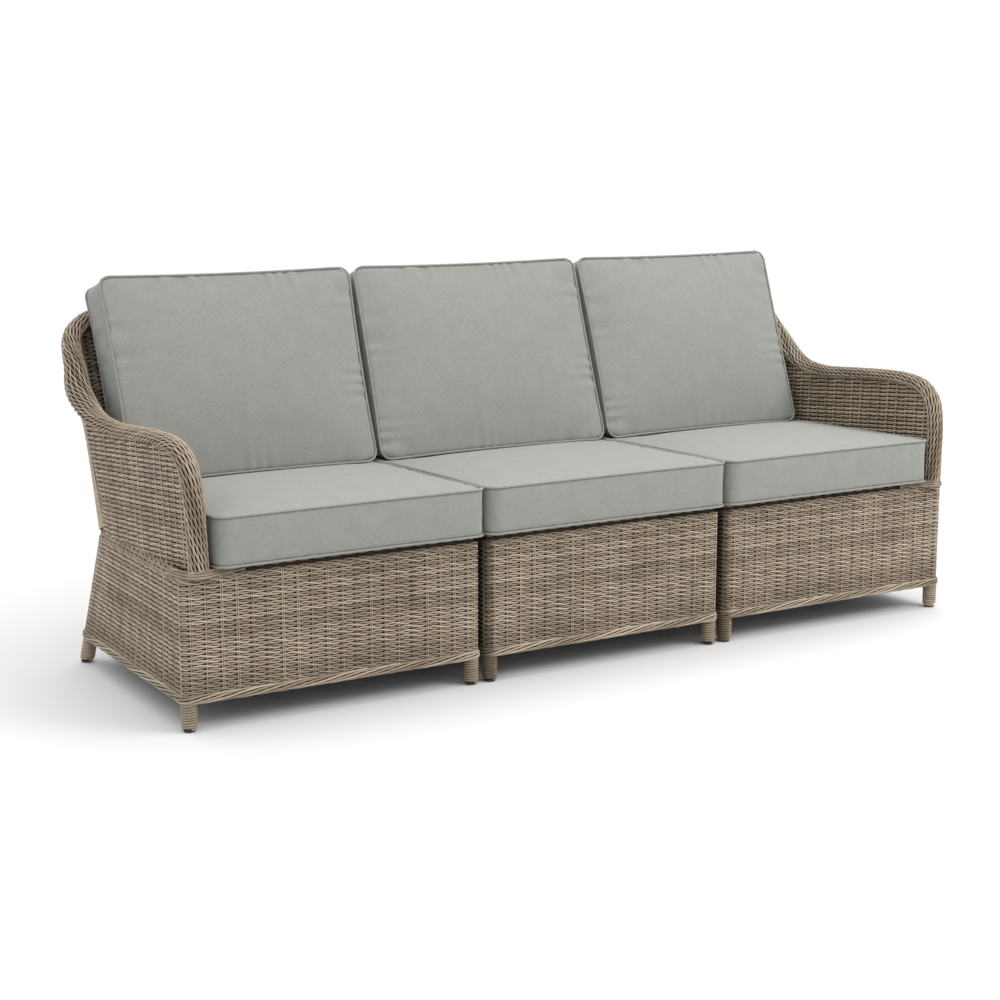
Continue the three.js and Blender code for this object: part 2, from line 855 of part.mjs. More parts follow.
function middleModule(name) {
  const uprights = [uprightPath(legInset), uprightPath(middleWidth - legInset)];
  const top = topRailPath();
  const group = new THREE.Group();
  const room = uprights.map((path) => solid(tubeAlong(path, postRadius + 2 * clearance)));
  const railRoom = solid(tubeAlong(top, railRadius + 2 * clearance));
  const rimRoom = rim(top, 2 * clearance);
  const ground = belowSeat();
  const sleeves = uprights.map(sleeveRoom);
  const seatReach = moduleGap / 2 - seatCushionJointGap;
  const backReach = moduleGap / 2 - backCushionJointGap;
  group.add(
    mesh(`${name}_frame`, middleFrame(uprights), materials.frame),
    ...base(name, middleWidth, 0, room),
    mesh(`${name}_rim`, cutBy(rim(top), room), materials.rim),
    mesh(
      `${name}_back_weave`,
      cutBy(backSheet(legInset, middleWidth - legInset), [ground, rimRoom, ...sleeves, railRoom]),
      materials.weave,
    ),
    ...['left', 'right'].map((side, index) => mesh(
      `${name}_${side}_post_wrap`,
      cutBy(sleeve(uprights[index], postRadius, wrap), [ground, rimRoom, railRoom]),
      materials.rim,
    )),
    ...feet(name, middleWidth, 0, middleSides),
    mesh(
      `${name}_seat_cushion`,
      seatCushion(-seatReach, middleWidth + seatReach),
      materials.fabric,
    ),
    mesh(
      `${name}_back_cushion`,
      backCushion(-backReach, middleWidth + backReach),
      materials.fabric,
    ),
  );
  return group;
}

const left = endModule('left');
const middle = middleModule('middle');
middle.position.x = endWidth + moduleGap;
const right = endModule('right');
right.scale.x = -1;
right.position.x = totalWidth;

const joints = [endWidth + moduleGap / 2, totalWidth - endWidth - moduleGap / 2];
const clips = joints.map((x, index) => {
  const made = mesh(`${['left', 'right'][index]}_clip`, clip(), materials.plastic);
  made.position.x = x;
  return made;
});

const sofa = new THREE.Group();
sofa.add(left, middle, right, ...clips);
const bounds = new THREE.Box3().setFromObject(sofa);
sofa.position.set(-totalWidth / 2, -(bounds.min.y + bounds.max.y) / 2, 0);

export default sofa;
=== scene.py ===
"""Looks of a three-seat garden sofa: woven synthetic rattan on a tube frame, with loose grey cushions.

Metres, +Z up, the sofa faces -Y. Places are worked out from the sofa's left side, the front of its
base and the floor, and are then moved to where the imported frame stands.
"""

import functools
import math

import bmesh
import bpy
import numpy as np
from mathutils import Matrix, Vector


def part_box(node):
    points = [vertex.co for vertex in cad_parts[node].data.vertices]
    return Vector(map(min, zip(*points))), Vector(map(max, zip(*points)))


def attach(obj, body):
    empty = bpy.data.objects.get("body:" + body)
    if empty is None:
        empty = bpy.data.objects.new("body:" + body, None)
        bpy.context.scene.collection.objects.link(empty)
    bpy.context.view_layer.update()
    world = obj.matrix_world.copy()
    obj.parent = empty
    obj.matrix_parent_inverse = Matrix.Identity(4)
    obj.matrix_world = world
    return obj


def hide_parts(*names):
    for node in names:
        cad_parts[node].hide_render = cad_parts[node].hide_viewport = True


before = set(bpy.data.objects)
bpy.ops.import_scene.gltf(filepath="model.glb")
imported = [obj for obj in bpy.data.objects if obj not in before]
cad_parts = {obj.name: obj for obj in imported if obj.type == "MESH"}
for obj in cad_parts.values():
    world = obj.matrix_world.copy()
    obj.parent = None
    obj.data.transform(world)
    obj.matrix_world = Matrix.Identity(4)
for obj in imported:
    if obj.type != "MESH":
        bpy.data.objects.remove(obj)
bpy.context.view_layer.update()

# Plan and heights, as in the frame
END_WIDTH = 0.726
MIDDLE_WIDTH = 0.668
MODULE_GAP = 0.012
BASE_DEPTH = 0.662
WAIST_DEPTH = 0.605
WAIST_INSET = 0.030
CORNER_RADIUS = 0.020
CLEAR_HEIGHT = 0.061
SEAT_HEIGHT = 0.350
SEAT_RAKE = 0.0283
ARM_RISE = 0.255
BACK_RISE = 0.216
RAIL_RADIUS = 0.011
SKIN = 0.008
CLEARANCE = 0.0003
LEG_INSET = 0.019
LEG_RADIUS = 0.010
LEG_COVER = 0.008
POST_RADIUS = 0.011
WRAP = 0.004
GLIDE_HEIGHT = 0.005
BRAID_HEIGHT = 0.022
BRAID_PROUD = 0.003
ARM_CENTRE = 0.034
ARM_TOE = 0.009
HOOP_FRONT = 0.016
ARM_LENGTH = 0.547
WING_LENGTH = 0.227
CORNER_REACH = 0.190

# Cushions, as in the frame
SEAT_FRONT = -0.024
SEAT_REAR = 0.566
SEAT_THICKNESS = 0.108
SEAT_ARM_GAP = 0.074
SEAT_JOINT_GAP = 0.0006
BACK_FOOT = 0.505
BACK_HEIGHT = 0.501
BACK_THICKNESS = 0.108
BACK_LEAN = 0.322
BACK_ARM_GAP = 0.084
BACK_JOINT_GAP = 0.003
BACK_LEANS = {"left": (-0.009, 0.003), "middle": (0.003, -0.008), "right": (-0.008, -0.012)}
CUSHION_CORNER = 0.030
CUSHION_DRAW = 0.005
PIPING_RADIUS = 0.0028
SEAT_SEAM_LIFT = 0.004

# Worked-out places
ROLL_RADIUS = SKIN + CLEARANCE + RAIL_RADIUS
HOOP_START = SEAT_HEIGHT - ROLL_RADIUS
POST_DEPTH = WAIST_DEPTH - LEG_INSET
ARM_TOP = HOOP_START + ARM_RISE
ARM_BACK = HOOP_FRONT + ARM_LENGTH
BACK_TOP = ARM_TOP + BACK_RISE
BACK_TOP_DEPTH = ARM_BACK + WING_LENGTH
TOTAL_WIDTH = 2 * END_WIDTH + MIDDLE_WIDTH + 2 * MODULE_GAP
ORIGIN = np.array([
    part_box("left_base_skirt")[0].x + BRAID_PROUD,
    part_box("middle_base_skirt")[0].y + BRAID_PROUD,
    0,
])

# Camera, as solved from the photograph, with its angles in degrees
CAMERA_PLACE = (-2.4582, -3.9997, 1.2375)
CAMERA_DROP = 10.919
CAMERA_TURN = 30.949
CAMERA_LENS = 67.92
CAMERA_SENSOR = 36

# Light and floor: each lamp's place, size and power
SKY_LEVEL = 1.05
SKY_OVERHEAD = 1.95
LAMPS = {
    "overhead": ((0.7, -0.1, 3.4), (2.4, 1.8), 17),
    "front": ((2.6, -3.4, 3.2), (2.2, 1.6), 106),
}
LAMP_AIM = (0, 0, 0.3)
LAMP_COLOUR = (1, 0.985, 0.96)
FLOOR_GREY = 0.6
FLOOR_REACH = 30

# Weave: its pitches, its places in the skins, and the turns of the rows on the base's roll
STAKE_PITCH = 0.0355
ROW_PITCH = 0.0108
STEPS_PER_STAKE = 5
WEAVE_INSET = 0.0038
ROLLED_ROWS = (0.12, 1.22, 1.9)
SIDE_ROLLED_ROW = 0.67
BORDER_INSET = 0.0025
BORDER_TURN_LENGTH = 0.30
# Dark sheets of painted shade behind the weave: the base's insets and lift, and half the thickness of those in the
# arm and back
SHADE_BACKING_INSETS = (0.0086, 0.0091)
SHADE_BACKING_LIFT = 0.003
SHADE_BACKING_HALF = 0.0004
SHORTEST_ROW = 0.3 * STAKE_PITCH
STAKE_STEP = 0.03
ARM_ROW_FALL = 0.09
POST_REACH = 0.0165
POST_SIDE = 0.008
POST_EASE = 0.05
UNDER_RIM = 0.009

# Wrappings: where up an upright they lie, at which heights on a leg, how full they are there, and the
# thickness of their strands
WRAPPED_SHARES = np.linspace(0.042, 0.972, 20)[:, None]
LEG_WRAP_HEIGHTS = [GLIDE_HEIGHT + 0.002, *np.linspace(0.011, CLEAR_HEIGHT + 0.004, 8)]
LEG_WRAP_FULLNESS = np.array([[0.87], [0.97], *[[1.0]] * 7])
LEG_STRAND = 0.0048
POST_STRAND = 0.0044

# Lays of strands: how many go side by side, then their sizes
LAY_SIZES = ("Swing Out", "Swing Aside", "Thickness", "Width", "Sides", "Unevenness", "Seed", "Finer Beside")
LAYS = {
    "twined_rows": (2, 0.0014, 0.0030, 0.0029, 0.0041, 5, 0.0011, 1, 0.28),
    "laid_border": (7, 0.0034, 0.0084, 0.0042, 0.0046, 6, 0.0016, 2, 0.0),
    "rim_strands": (1, 0.0006, 0.0015, 0.0031, 0.0030, 6, 0.0012, 4, 0.0),
}

# Painted shade on the weave just right of each joint between modules, where the groove between them lies in
# shadow, and on the legs there
JOINT_SHADE_REACH = 0.026
JOINT_SHADE_START = -0.004
JOINT_SHADE_DEPTH = 0.55
FOOT_PAINTED_SHADE = 0.5
FOOT_SHADE_REACH = 0.05
JOINT_SHADE_TOP = SEAT_HEIGHT - 0.012

# Rim: its section, how much fuller it is up the wing, and the lay of its strands
RIM_HALF = 0.0245
RIM_SWELL = 0.024
RIM_PARING = 0.003
RIM_LIFT = 0.010
RIM_SIDE = 0.004
RIM_RISE = 0.0215
STRAND_INSET = 0.0024
CORE_INSET = 0.0064
HEM = 0.009
STRANDS_OVER_RIM = 21
RIM_TRAVEL = 0.40
RIM_SWAY = 0.038
RIM_STEP = 0.0065
CORE_STEP = 0.012

# How the rim swells: how far below the arm's top and ahead of the wing it starts, its share over the
# middle of the section and how much that changes towards the edges
SWELL_BELOW = 0.06
SWELL_AHEAD = 0.12
SWELL_MIDDLE = 0.6
SWELL_SLANT = 0.4

# Collar at the rim's foot: its rows' places over the first one's height, and what each next row adds
COLLAR_ROWS = 3
COLLAR_BELOW_SEAT = 0.013
COLLAR_RISE = 0.0055
COLLAR_STEP_BACK = 0.002
COLLAR_SIDE = [(0.005, 0.085, -0.003), (0.004, 0.05, -0.001), (0.010, 0.012, 0)]
COLLAR_FRONT = [
    (0.022, -0.009, 0), (0.043, -0.017, 0), (0.064, -0.012, 0),
    (0.086, -0.001, 0), (0.115, 0.005, 0.002), (0.150, 0.008, 0.003),
]

# Cushion covers: their crowns, creases, and the small folds along the seams
SEAT_CROWN = 0.009
BACK_CROWN = 0.014
SEAT_CREASES = 0.0016
BACK_CREASES = 0.0040
FOLD_PITCH = 0.041
FOLD_LENGTH = 0.034
FOLD_START = 0.005
FOLD_DRIFT = 0.171
FOLD_REST = 0.263
BELT_FOLD_SHARE = 0.35

# Stuffing: how much looser than its plain size each cover is cut with the pressure inside it, the cloth's
# own settings, and how far a cover may then move, down and up its three ways
CLOTH_STEP = 0.0135
SIMULATED_FRAMES = 20
SEAT_FILLING = (0.004, 2.2)
BACK_FILLING = (0.006, 3.4)
CLOTH_SETTINGS = {
    "quality": 5, "mass": 0.3, "tension_stiffness": 18, "compression_stiffness": 18, "shear_stiffness": 6,
    "bending_stiffness": 0.35, "air_damping": 4, "pin_stiffness": 5, "use_pressure": True,
    "vertex_group_mass": "seams", "vertex_group_shrink": "loose",
}
SEAT_BULGES = [(0.0028, 0.0028), (0.008, 0.006), (0.006, 0.022)]
BACK_BULGES = [(0.004, 0.004), (0.003, 0.010), (0.004, 0.026)]

# Where a back cushion presses the seat flat: how far ahead of its foot that starts, the depth over which
# the seat thins towards there, and how far a seat may rise above its plain thickness elsewhere
PRESSED_AHEAD = 0.016
PRESSED_FADE = 0.09
SEAT_ROOM = 0.03

# Bends of the arm and of the wing, as shares of their length and rise
ARM_PATH_SHARES = [
    (0, 0), (0.003, 0.35), (0.01, 0.66), (0.032, 0.85), (0.088, 0.955),
    (0.18, 0.996), (0.316, 1), (0.572, 0.97), (0.8, 0.945),
]
WING_PATH_SHARES = [
    (0, 0.01, 0), (0, 0.34, 0.173), (0, 0.57, 0.4), (0, 0.745, 0.625),
    (0.1, 0.845, 0.825), (0.36, 0.93, 0.955), (0.74, 0.99, 0.997), (1, 1, 1),
]

# The corner post: the wing's bend that it meets, and where up it its knee is
POST_MEET_BEND = 3
POST_KNEE_SHARE = 0.62
SPAN_STEPS = 24
POST_MEETS = SPAN_STEPS * (len(ARM_PATH_SHARES) + POST_MEET_BEND)

# The way inwards from each corner of a base
INWARDS = [(1, 1), (-1, 1), (-1, -1), (1, -1)]


def seat_top(y):
    return SEAT_HEIGHT - SEAT_RAKE * y


def rail_height(y):
    return seat_top(y) - ROLL_RADIUS


def unit(vectors):
    vectors = np.asarray(vectors, float)
    return vectors / np.maximum(np.linalg.norm(vectors, axis=-1, keepdims=True), 1e-12)


def turned(along, up):
    """The outward and the sideways way of a line that runs along, where up is given."""
    out = unit(np.cross(along, up))
    return out, np.cross(out, along)


def read(collection, label):
    """What a mesh's points or places know, as rows of three."""
    values = np.zeros(len(collection) * 3, np.float32)
    collection.foreach_get(label, values)
    return values.reshape(-1, 3)


def linked(name, data):
    """A new object in the scene."""
    holder = bpy.data.objects.new(name, data)
    bpy.context.scene.collection.objects.link(holder)
    return holder


def baked(holder):
    """The plain mesh that an object's modifiers make."""
    seen = bpy.context.evaluated_depsgraph_get()
    return bpy.data.meshes.new_from_object(holder.evaluated_get(seen))


# Camera, floor and light


def set_camera():
    camera = linked("camera", bpy.data.cameras.new("camera"))
    camera.location = CAMERA_PLACE
    camera.rotation_euler = (math.radians(90 - CAMERA_DROP), 0, math.radians(-CAMERA_TURN))
    camera.data.lens = CAMERA_LENS
    camera.data.sensor_width = CAMERA_SENSOR
    camera.data.clip_start = 0.1
    camera.data.clip_end = 60
    bpy.context.scene.camera = camera


def area_light(name, place, size, power):
    lamp = bpy.data.lights.new(name, "AREA")
    lamp.shape = "RECTANGLE"
    lamp.size, lamp.size_y = size
    lamp.energy = power
    lamp.color = LAMP_COLOUR
    holder = linked(name, lamp)
    holder.location = place
    way = Vector(LAMP_AIM) - Vector(place)
    holder.rotation_euler = way.to_track_quat("-Z", "Y").to_euler()


class Net:
    """Nodes that are added one at a time, each with its settings and with what feeds it."""

    def __init__(self, tree):
        self.nodes, self.links = tree.nodes, tree.links

    def feed(self, socket, value):
        if isinstance(value, bpy.types.NodeSocket):
            self.links.new(value, socket)
        else:
            socket.default_value = value

    def add(self, kind, inputs=None, **settings):
        node = self.nodes.new(kind)
        for label, value in settings.items():
            setattr(node, label, value)
        for label, value in (inputs or {}).items():
            self.feed(node.inputs[label], value)
        return node

    def math(self, operation, a, b=0.0, clamp=False):
        return self.add("ShaderNodeMath", {0: a, 1: b}, operation=operation, use_clamp=clamp).outputs[0]

    def times(self, a, b):
        return self.math("MULTIPLY", a, b)

    def plus(self, a, b):
        return self.math("ADD", a, b)

    def scaled_sum(self, parts, less=0.0):
        """Values times their weights, added up, less a fixed amount and held between 0 and 1."""
        products = [self.times(value, weight) for value, weight in parts]
        return self.math("SUBTRACT", functools.reduce(self.plus, products), less, clamp=True)


def set_studio():
    """An even white room that is brightest overhead, over a pale floor."""
    scene = bpy.context.scene
    scene.view_settings.view_transform = "Standard"
    scene.world = bpy.data.worlds.new("studio")
    scene.world.use_nodes = True
    net = Net(scene.world.node_tree)
    way = net.add("ShaderNodeTexCoord").outputs["Generated"]
    height = net.add("ShaderNodeSeparateXYZ", {0: way}).outputs["Z"]
    spread = {"Value": height, "From Min": 0.08, "From Max": 0.95, "To Min": SKY_LEVEL, "To Max": SKY_OVERHEAD}
    rise = net.add("ShaderNodeMapRange", spread, interpolation_type="SMOOTHSTEP").outputs["Result"]
    net.feed(net.nodes["Background"].inputs["Strength"], rise)
    net.feed(net.nodes["Background"].inputs["Color"], (1, 1, 1, 1))
    mesh = bpy.data.meshes.new("floor")
    corners = [(FLOOR_REACH * x, FLOOR_REACH * y, 0) for x, y in ((-1, -1), (1, -1), (1, 1), (-1, 1))]
    mesh.from_pydata(corners, [], [(0, 1, 2, 3)])
    paint = Shading("studio_floor", roughness=0.9, Base_Color=(FLOOR_GREY, FLOOR_GREY, FLOOR_GREY, 1))
    mesh.materials.append(paint.material)
    linked("floor", mesh)
    for name, lamp in LAMPS.items():
        area_light(name, *lamp)


# Materials


class Shading(Net):
    """A material whose nodes feed one shader."""

    def __init__(self, name, roughness, **fixed):
        self.material = bpy.data.materials.new(name)
        self.material.use_nodes = True
        super().__init__(self.material.node_tree)
        self.shader = self.nodes["Principled BSDF"]
        self.shader.inputs["Roughness"].default_value = roughness
        for label, value in fixed.items():
            self.shader.inputs[label.replace("_", " ")].default_value = value

    def noise(self, vector, scale, detail=2.0, roughness=0.5):
        """Noise at a scale, or with a scale for each way."""
        if isinstance(scale, tuple):
            vector = self.add("ShaderNodeMapping", {"Vector": vector, "Scale": scale}).outputs["Vector"]
            scale = 1.0
        inputs = {"Vector": vector, "Scale": scale, "Detail": detail, "Roughness": roughness}
        return self.add("ShaderNodeTexNoise", inputs).outputs["Fac"]

    def ramp(self, value, stops):
        node = self.add("ShaderNodeValToRGB", {"Fac": value})
        while len(node.color_ramp.elements) < len(stops):
            node.color_ramp.elements.new(0.5)
        for element, (place, colour) in zip(node.color_ramp.elements, stops):
            element.position = place
            element.color = (*colour, 1)
        return node.outputs["Color"]

    def paint(self, value, stops):
        """Colours by a value."""
        self.feed(self.shader.inputs["Base Color"], self.ramp(value, stops))

    def roughen(self, value, share, least):
        """Roughness by a value: a share of it above the least."""
        rough = self.plus(self.times(value, share), least)
        self.feed(self.shader.inputs["Roughness"], rough)

    def bump(self, height, distance, strength):
        node = self.add("ShaderNodeBump", {"Height": height, "Distance": distance, "Strength": strength})
        self.links.new(node.outputs["Normal"], self.shader.inputs["Normal"])


def tone(red, green, blue):
    """A colour given as it looks on a screen, from 0 to 255, as the shader needs it."""
    shares = [c / 255 for c in (red, green, blue)]
    return tuple(s / 12.92 if s <= 0.04045 else ((s + 0.055) / 1.055) ** 2.4 for s in shares)


def joint_painted_shade(paint, place):
    """Painted shade below the seat: how much darker the weave is just right of each joint between modules, and on
    the legs there, where shadow falls.
    """
    split = paint.add("ShaderNodeSeparateXYZ", {0: place}).outputs
    low = paint.math("LESS_THAN", split["Z"], JOINT_SHADE_TOP)
    on_leg = paint.math("LESS_THAN", split["Z"], CLEAR_HEIGHT)
    total = 0.0
    for joint in (END_WIDTH + MODULE_GAP, TOTAL_WIDTH - END_WIDTH):
        past = paint.math("SUBTRACT", split["X"], float(ORIGIN[0]) + joint)
        ahead = paint.math("GREATER_THAN", past, JOINT_SHADE_START)
        fade = paint.math("SUBTRACT", 1.0, paint.math("DIVIDE", past, JOINT_SHADE_REACH), clamp=True)
        total = paint.plus(total, paint.times(ahead, fade))
        away = paint.math("ABSOLUTE", paint.plus(past, MODULE_GAP / 2))
        foot = paint.times(paint.math("LESS_THAN", away, FOOT_SHADE_REACH), on_leg)
        total = paint.plus(total, paint.times(foot, FOOT_PAINTED_SHADE))
    return paint.times(paint.times(total, low), JOINT_SHADE_DEPTH)


def strand_finish(name, pale, middle, dark):
    """Extruded rattan: fine lengthwise streaks, a tone for each strand, greyer and browner patches, and painted
    shade just right of the joints between modules.
    """
    paint = Shading(name, roughness=0.5, Specular_IOR_Level=0.35)
    run = paint.add("ShaderNodeUVMap", uv_map="UVMap").outputs["UV"]
    place = paint.add("ShaderNodeTexCoord").outputs["Object"]
    tint = paint.add("ShaderNodeAttribute", attribute_name="tint").outputs["Fac"]
    streak = paint.noise(run, (14, 900, 1), 3.0, 0.6)
    slow = paint.noise(run, (9, 60, 1), 1.0)
    patch = paint.noise(place, 9.0, 2.0, 0.55)
    # Painted shade: the weave turns darker just right of each joint between modules
    less = paint.plus(joint_painted_shade(paint, place), 0.24)
    share = paint.scaled_sum([(tint, 0.42), (slow, 0.42), (streak, 0.3), (patch, 0.36)], less)
    paint.paint(share, [(0.16, dark), (0.5, middle), (0.84, pale)])
    paint.roughen(streak, 0.25, 0.38)
    paint.bump(streak, 0.0006, 0.7)
    return paint.material


def fabric_finish():
    """Heathered outdoor cloth: crossed slubby threads of two greys, a fine weave and a soft sheen."""
    paint = Shading("heathered_cloth", roughness=0.95, Sheen_Weight=0.12, Sheen_Roughness=0.6,
                    Specular_IOR_Level=0.15)
    run = paint.add("ShaderNodeUVMap", uv_map="UVMap").outputs["UV"]
    warp = paint.noise(run, (1500, 90, 1), 2.0, 0.6)
    weft = paint.noise(run, (90, 1500, 1), 2.0, 0.6)
    slub = paint.noise(run, (420, 150, 1), 3.0, 0.65)
    cloud = paint.noise(run, (26, 21, 1), 3.0, 0.6)
    threads = paint.times(paint.plus(warp, weft), 0.5)
    share = paint.scaled_sum([(threads, 0.7), (slub, 0.45), (cloud, 0.16)], 0.155)
    paint.paint(share, [(0.25, tone(108, 109, 105)), (0.5, tone(128, 129, 124)), (0.78, tone(147, 148, 143))])
    paint.bump(paint.plus(threads, paint.times(slub, 0.6)), 0.0009, 0.6)
    return paint.material


def tube_finish():
    """Powder-coated steel: a fine orange-peel skin, with duller patches."""
    paint = Shading("coated_tube", roughness=0.5, Metallic=0.2)
    place = paint.add("ShaderNodeTexCoord").outputs["Object"]
    grain = paint.noise(place, 700.0, 2.0)
    patch = paint.noise(place, 14.0, 3.0)
    paint.paint(patch, [(0.3, tone(66, 58, 50)), (0.7, tone(84, 75, 66))])
    paint.roughen(patch, 0.3, 0.35)
    paint.bump(grain, 0.0004, 0.5)
    return paint.material


def plastic_finish():
    """Moulded black plastic, scuffed low down where it stands on the ground."""
    paint = Shading("moulded_plastic", roughness=0.55)
    place = paint.add("ShaderNodeTexCoord").outputs["Object"]
    grain = paint.noise(place, 900.0, 2.0)
    scuff = paint.noise(place, (60, 60, 400), 4.0, 0.7)
    paint.paint(scuff, [(0.35, tone(26, 26, 26)), (0.8, tone(58, 57, 55))])
    paint.roughen(scuff, 0.35, 0.4)
    paint.bump(grain, 0.0003, 0.5)
    return paint.material


# Lines that carry strands


class Lines:
    """Polylines for strands: each point has its outward way, its sideways way and its place in the lay."""

    def __init__(self):
        self.parts = []

    def add(self, points, out, side, turn, closed=False):
        points = np.asarray(points, float)
        spread = [np.broadcast_to(np.asarray(v, float), points.shape).copy() for v in (out, side)]
        turn = np.broadcast_to(np.asarray(turn, float), (len(points),)).copy()
        self.parts.append([points, *spread, turn, closed])

    def placed(self, module):
        """The same lines in their module's place, mirrored for the right-hand end."""
        moved = Lines()
        for points, out, side, turn, closed in self.parts:
            flip = np.array([-1 if module == "right" else 1, 1, 1])
            moved.parts.append([in_module(points, module), out * flip, side * flip, turn * flip[0], closed])
        return moved

    def carrier(self, name):
        """An object whose edges are the lines, with what each point knows kept as attributes."""
        starts = np.cumsum([0] + [len(p[0]) for p in self.parts])
        edges = []
        for start, (points, *_, closed) in zip(starts, self.parts):
            count = len(points)
            edges += [(start + i, start + (i + 1) % count) for i in range(count if closed else count - 1)]
        mesh = bpy.data.meshes.new(name)
        points = np.vstack([p[0] for p in self.parts]) + ORIGIN
        mesh.from_pydata(points.tolist(), edges, [])
        for index, (label, kind, field) in enumerate((
            ("out", "FLOAT_VECTOR", "vector"), ("side", "FLOAT_VECTOR", "vector"), ("turn", "FLOAT", "value"),
        ), 1):
            values = np.concatenate([p[index] for p in self.parts]).astype(np.float32)
            mesh.attributes.new(label, kind, "POINT").data.foreach_set(field, values.ravel())
        numbers = np.repeat(np.arange(len(self.parts)), np.diff(starts)).astype(np.int32)
        mesh.attributes.new("line", "INT", "POINT").data.foreach_set("value", numbers)
        return linked(name, mesh)


def hand_path(points, per_span=SPAN_STEPS):
    """A smooth line through given points, as the frame's tubes are bent."""
    p = np.array(points, float)
    p = np.vstack([2 * p[0] - p[1], p, 2 * p[-1] - p[-2]])
    share = np.linspace(0, 1, per_span, endpoint=False)[:, None]
    line = []
    for i in range(1, len(p) - 2):
        a, b, c, d = p[i - 1:i + 3]
        before, here, after = (math.sqrt(np.linalg.norm(v)) for v in (b - a, c - b, d - c))
        leave = ((b - a) / before - (c - a) / (before + here) + (c - b) / here) * here
        arrive = ((c - b) / here - (d - b) / (here + after) + (d - c) / after) * here
        line.append(b + share * leave + share**2 * (3 * (c - b) - 2 * leave - arrive)
                    + share**3 * (2 * (b - c) + leave + arrive))
    return np.vstack([*line, p[-2:-1]])


def lengths_along(line):
    return np.concatenate([[0], np.cumsum(np.linalg.norm(np.diff(line, axis=0), axis=1))])


def spaced(line, step):
    """The line's places at equal steps, and how far along each lies."""
    run = lengths_along(line)
    at = np.linspace(0, run[-1], max(2, round(run[-1] / step) + 1))
    return np.stack([np.interp(at, run, line[:, k]) for k in range(3)], axis=1), at


def arm_points():
    arm = [(ARM_CENTRE, HOOP_FRONT + y * ARM_LENGTH, HOOP_START + z * ARM_RISE) for y, z in ARM_PATH_SHARES]
    wing = [(ARM_CENTRE + x * (CORNER_REACH - ARM_CENTRE), ARM_BACK + y * WING_LENGTH, ARM_TOP + z * BACK_RISE)
            for x, y, z in WING_PATH_SHARES]
    return arm + wing + [(END_WIDTH, BACK_TOP_DEPTH, BACK_TOP)]


def upright_ends():
    """The foot and the top of an upright in the back, at its module's left edge."""
    return np.array([0, POST_DEPTH, rail_height(POST_DEPTH)]), np.array([0, BACK_TOP_DEPTH, BACK_TOP])


def corner_post_points():
    foot = np.array([WAIST_INSET + LEG_INSET, POST_DEPTH, rail_height(POST_DEPTH)])
    meet = np.array(arm_points()[len(ARM_PATH_SHARES) + POST_MEET_BEND])
    knee = foot + POST_KNEE_SHARE * (meet - foot)
    knee[0] = foot[0]
    return [foot, knee, meet]


# Base outline and wall


def base_corners(width, outer_inset):
    """The corners of a base at its foot and at its waist."""
    return ([(0, 0), (width, 0), (width, BASE_DEPTH), (0, BASE_DEPTH)],
            [(0, 0), (width, 0), (width, WAIST_DEPTH), (outer_inset, WAIST_DEPTH)])


def rounded_outline(corners):
    """Places round a base with rounded corners, and the way inwards at each."""
    places, inwards = [], []
    for index, corner in enumerate(corners):
        turn = math.pi + index * math.pi / 2 + np.linspace(0, math.pi / 2, 9)
        out = np.stack([np.cos(turn), np.sin(turn)], axis=1)
        places.append(np.array(corner) + CORNER_RADIUS * (np.array(INWARDS[index]) + out))
        inwards.append(-out)
    return np.vstack(places), np.vstack(inwards)


class Wall:
    """The wall of a base: places round it at a height or on the roll along its top."""

    def __init__(self, width, outer_inset, count):
        (low, inward), (high, _) = (rounded_outline(corners) for corners in base_corners(width, outer_inset))
        ring = np.vstack([low, low[:1]])
        run = lengths_along(ring)
        at = np.linspace(0, run[-1], count, endpoint=False)
        around = [np.vstack([values, values[:1]]) for values in (low, high, inward)]
        low, high, inward = [np.stack([np.interp(at, run, v[:, k]) for k in range(2)], axis=1) for v in around]
        self.low, self.high, self.inward = low, high, unit(inward)
        self.roll = rail_height(high[:, 1] + ROLL_RADIUS * self.inward[:, 1])
        self.length = run[-1]

    def place(self, inset, z):
        share = np.clip((z - CLEAR_HEIGHT) / (self.roll - CLEAR_HEIGHT), 0, 1)[:, None]
        flat = self.low + share * (self.high - self.low) + inset * self.inward
        return np.column_stack([flat, np.broadcast_to(z, len(flat))])

    def level(self, share, inset):
        """A level line on the straight part: share 0 at the foot border's top, 1 where the roll starts."""
        start = CLEAR_HEIGHT + BRAID_HEIGHT
        return self.place(inset, start + share * (self.roll - start))

    def rolled(self, turn, inset):
        radius = ROLL_RADIUS - inset
        return self.place(ROLL_RADIUS - radius * math.cos(turn), self.roll + radius * math.sin(turn))


def ways(grid):
    """Outward and upward ways at each place of rows that run round a wall."""
    along = unit(np.roll(grid, -1, axis=1) - np.roll(grid, 1, axis=1))
    return *turned(along, unit(np.gradient(grid, axis=0))), along


def wall_grid(wall):
    tallest = wall.roll.max() - CLEAR_HEIGHT - BRAID_HEIGHT
    rows = round(tallest / ROW_PITCH)
    levels = [wall.level((k + 0.4) / rows, WEAVE_INSET) for k in range(rows)]
    rolled = [wall.rolled(turn, WEAVE_INSET) for turn in ROLLED_ROWS]
    return np.array(levels + rolled)


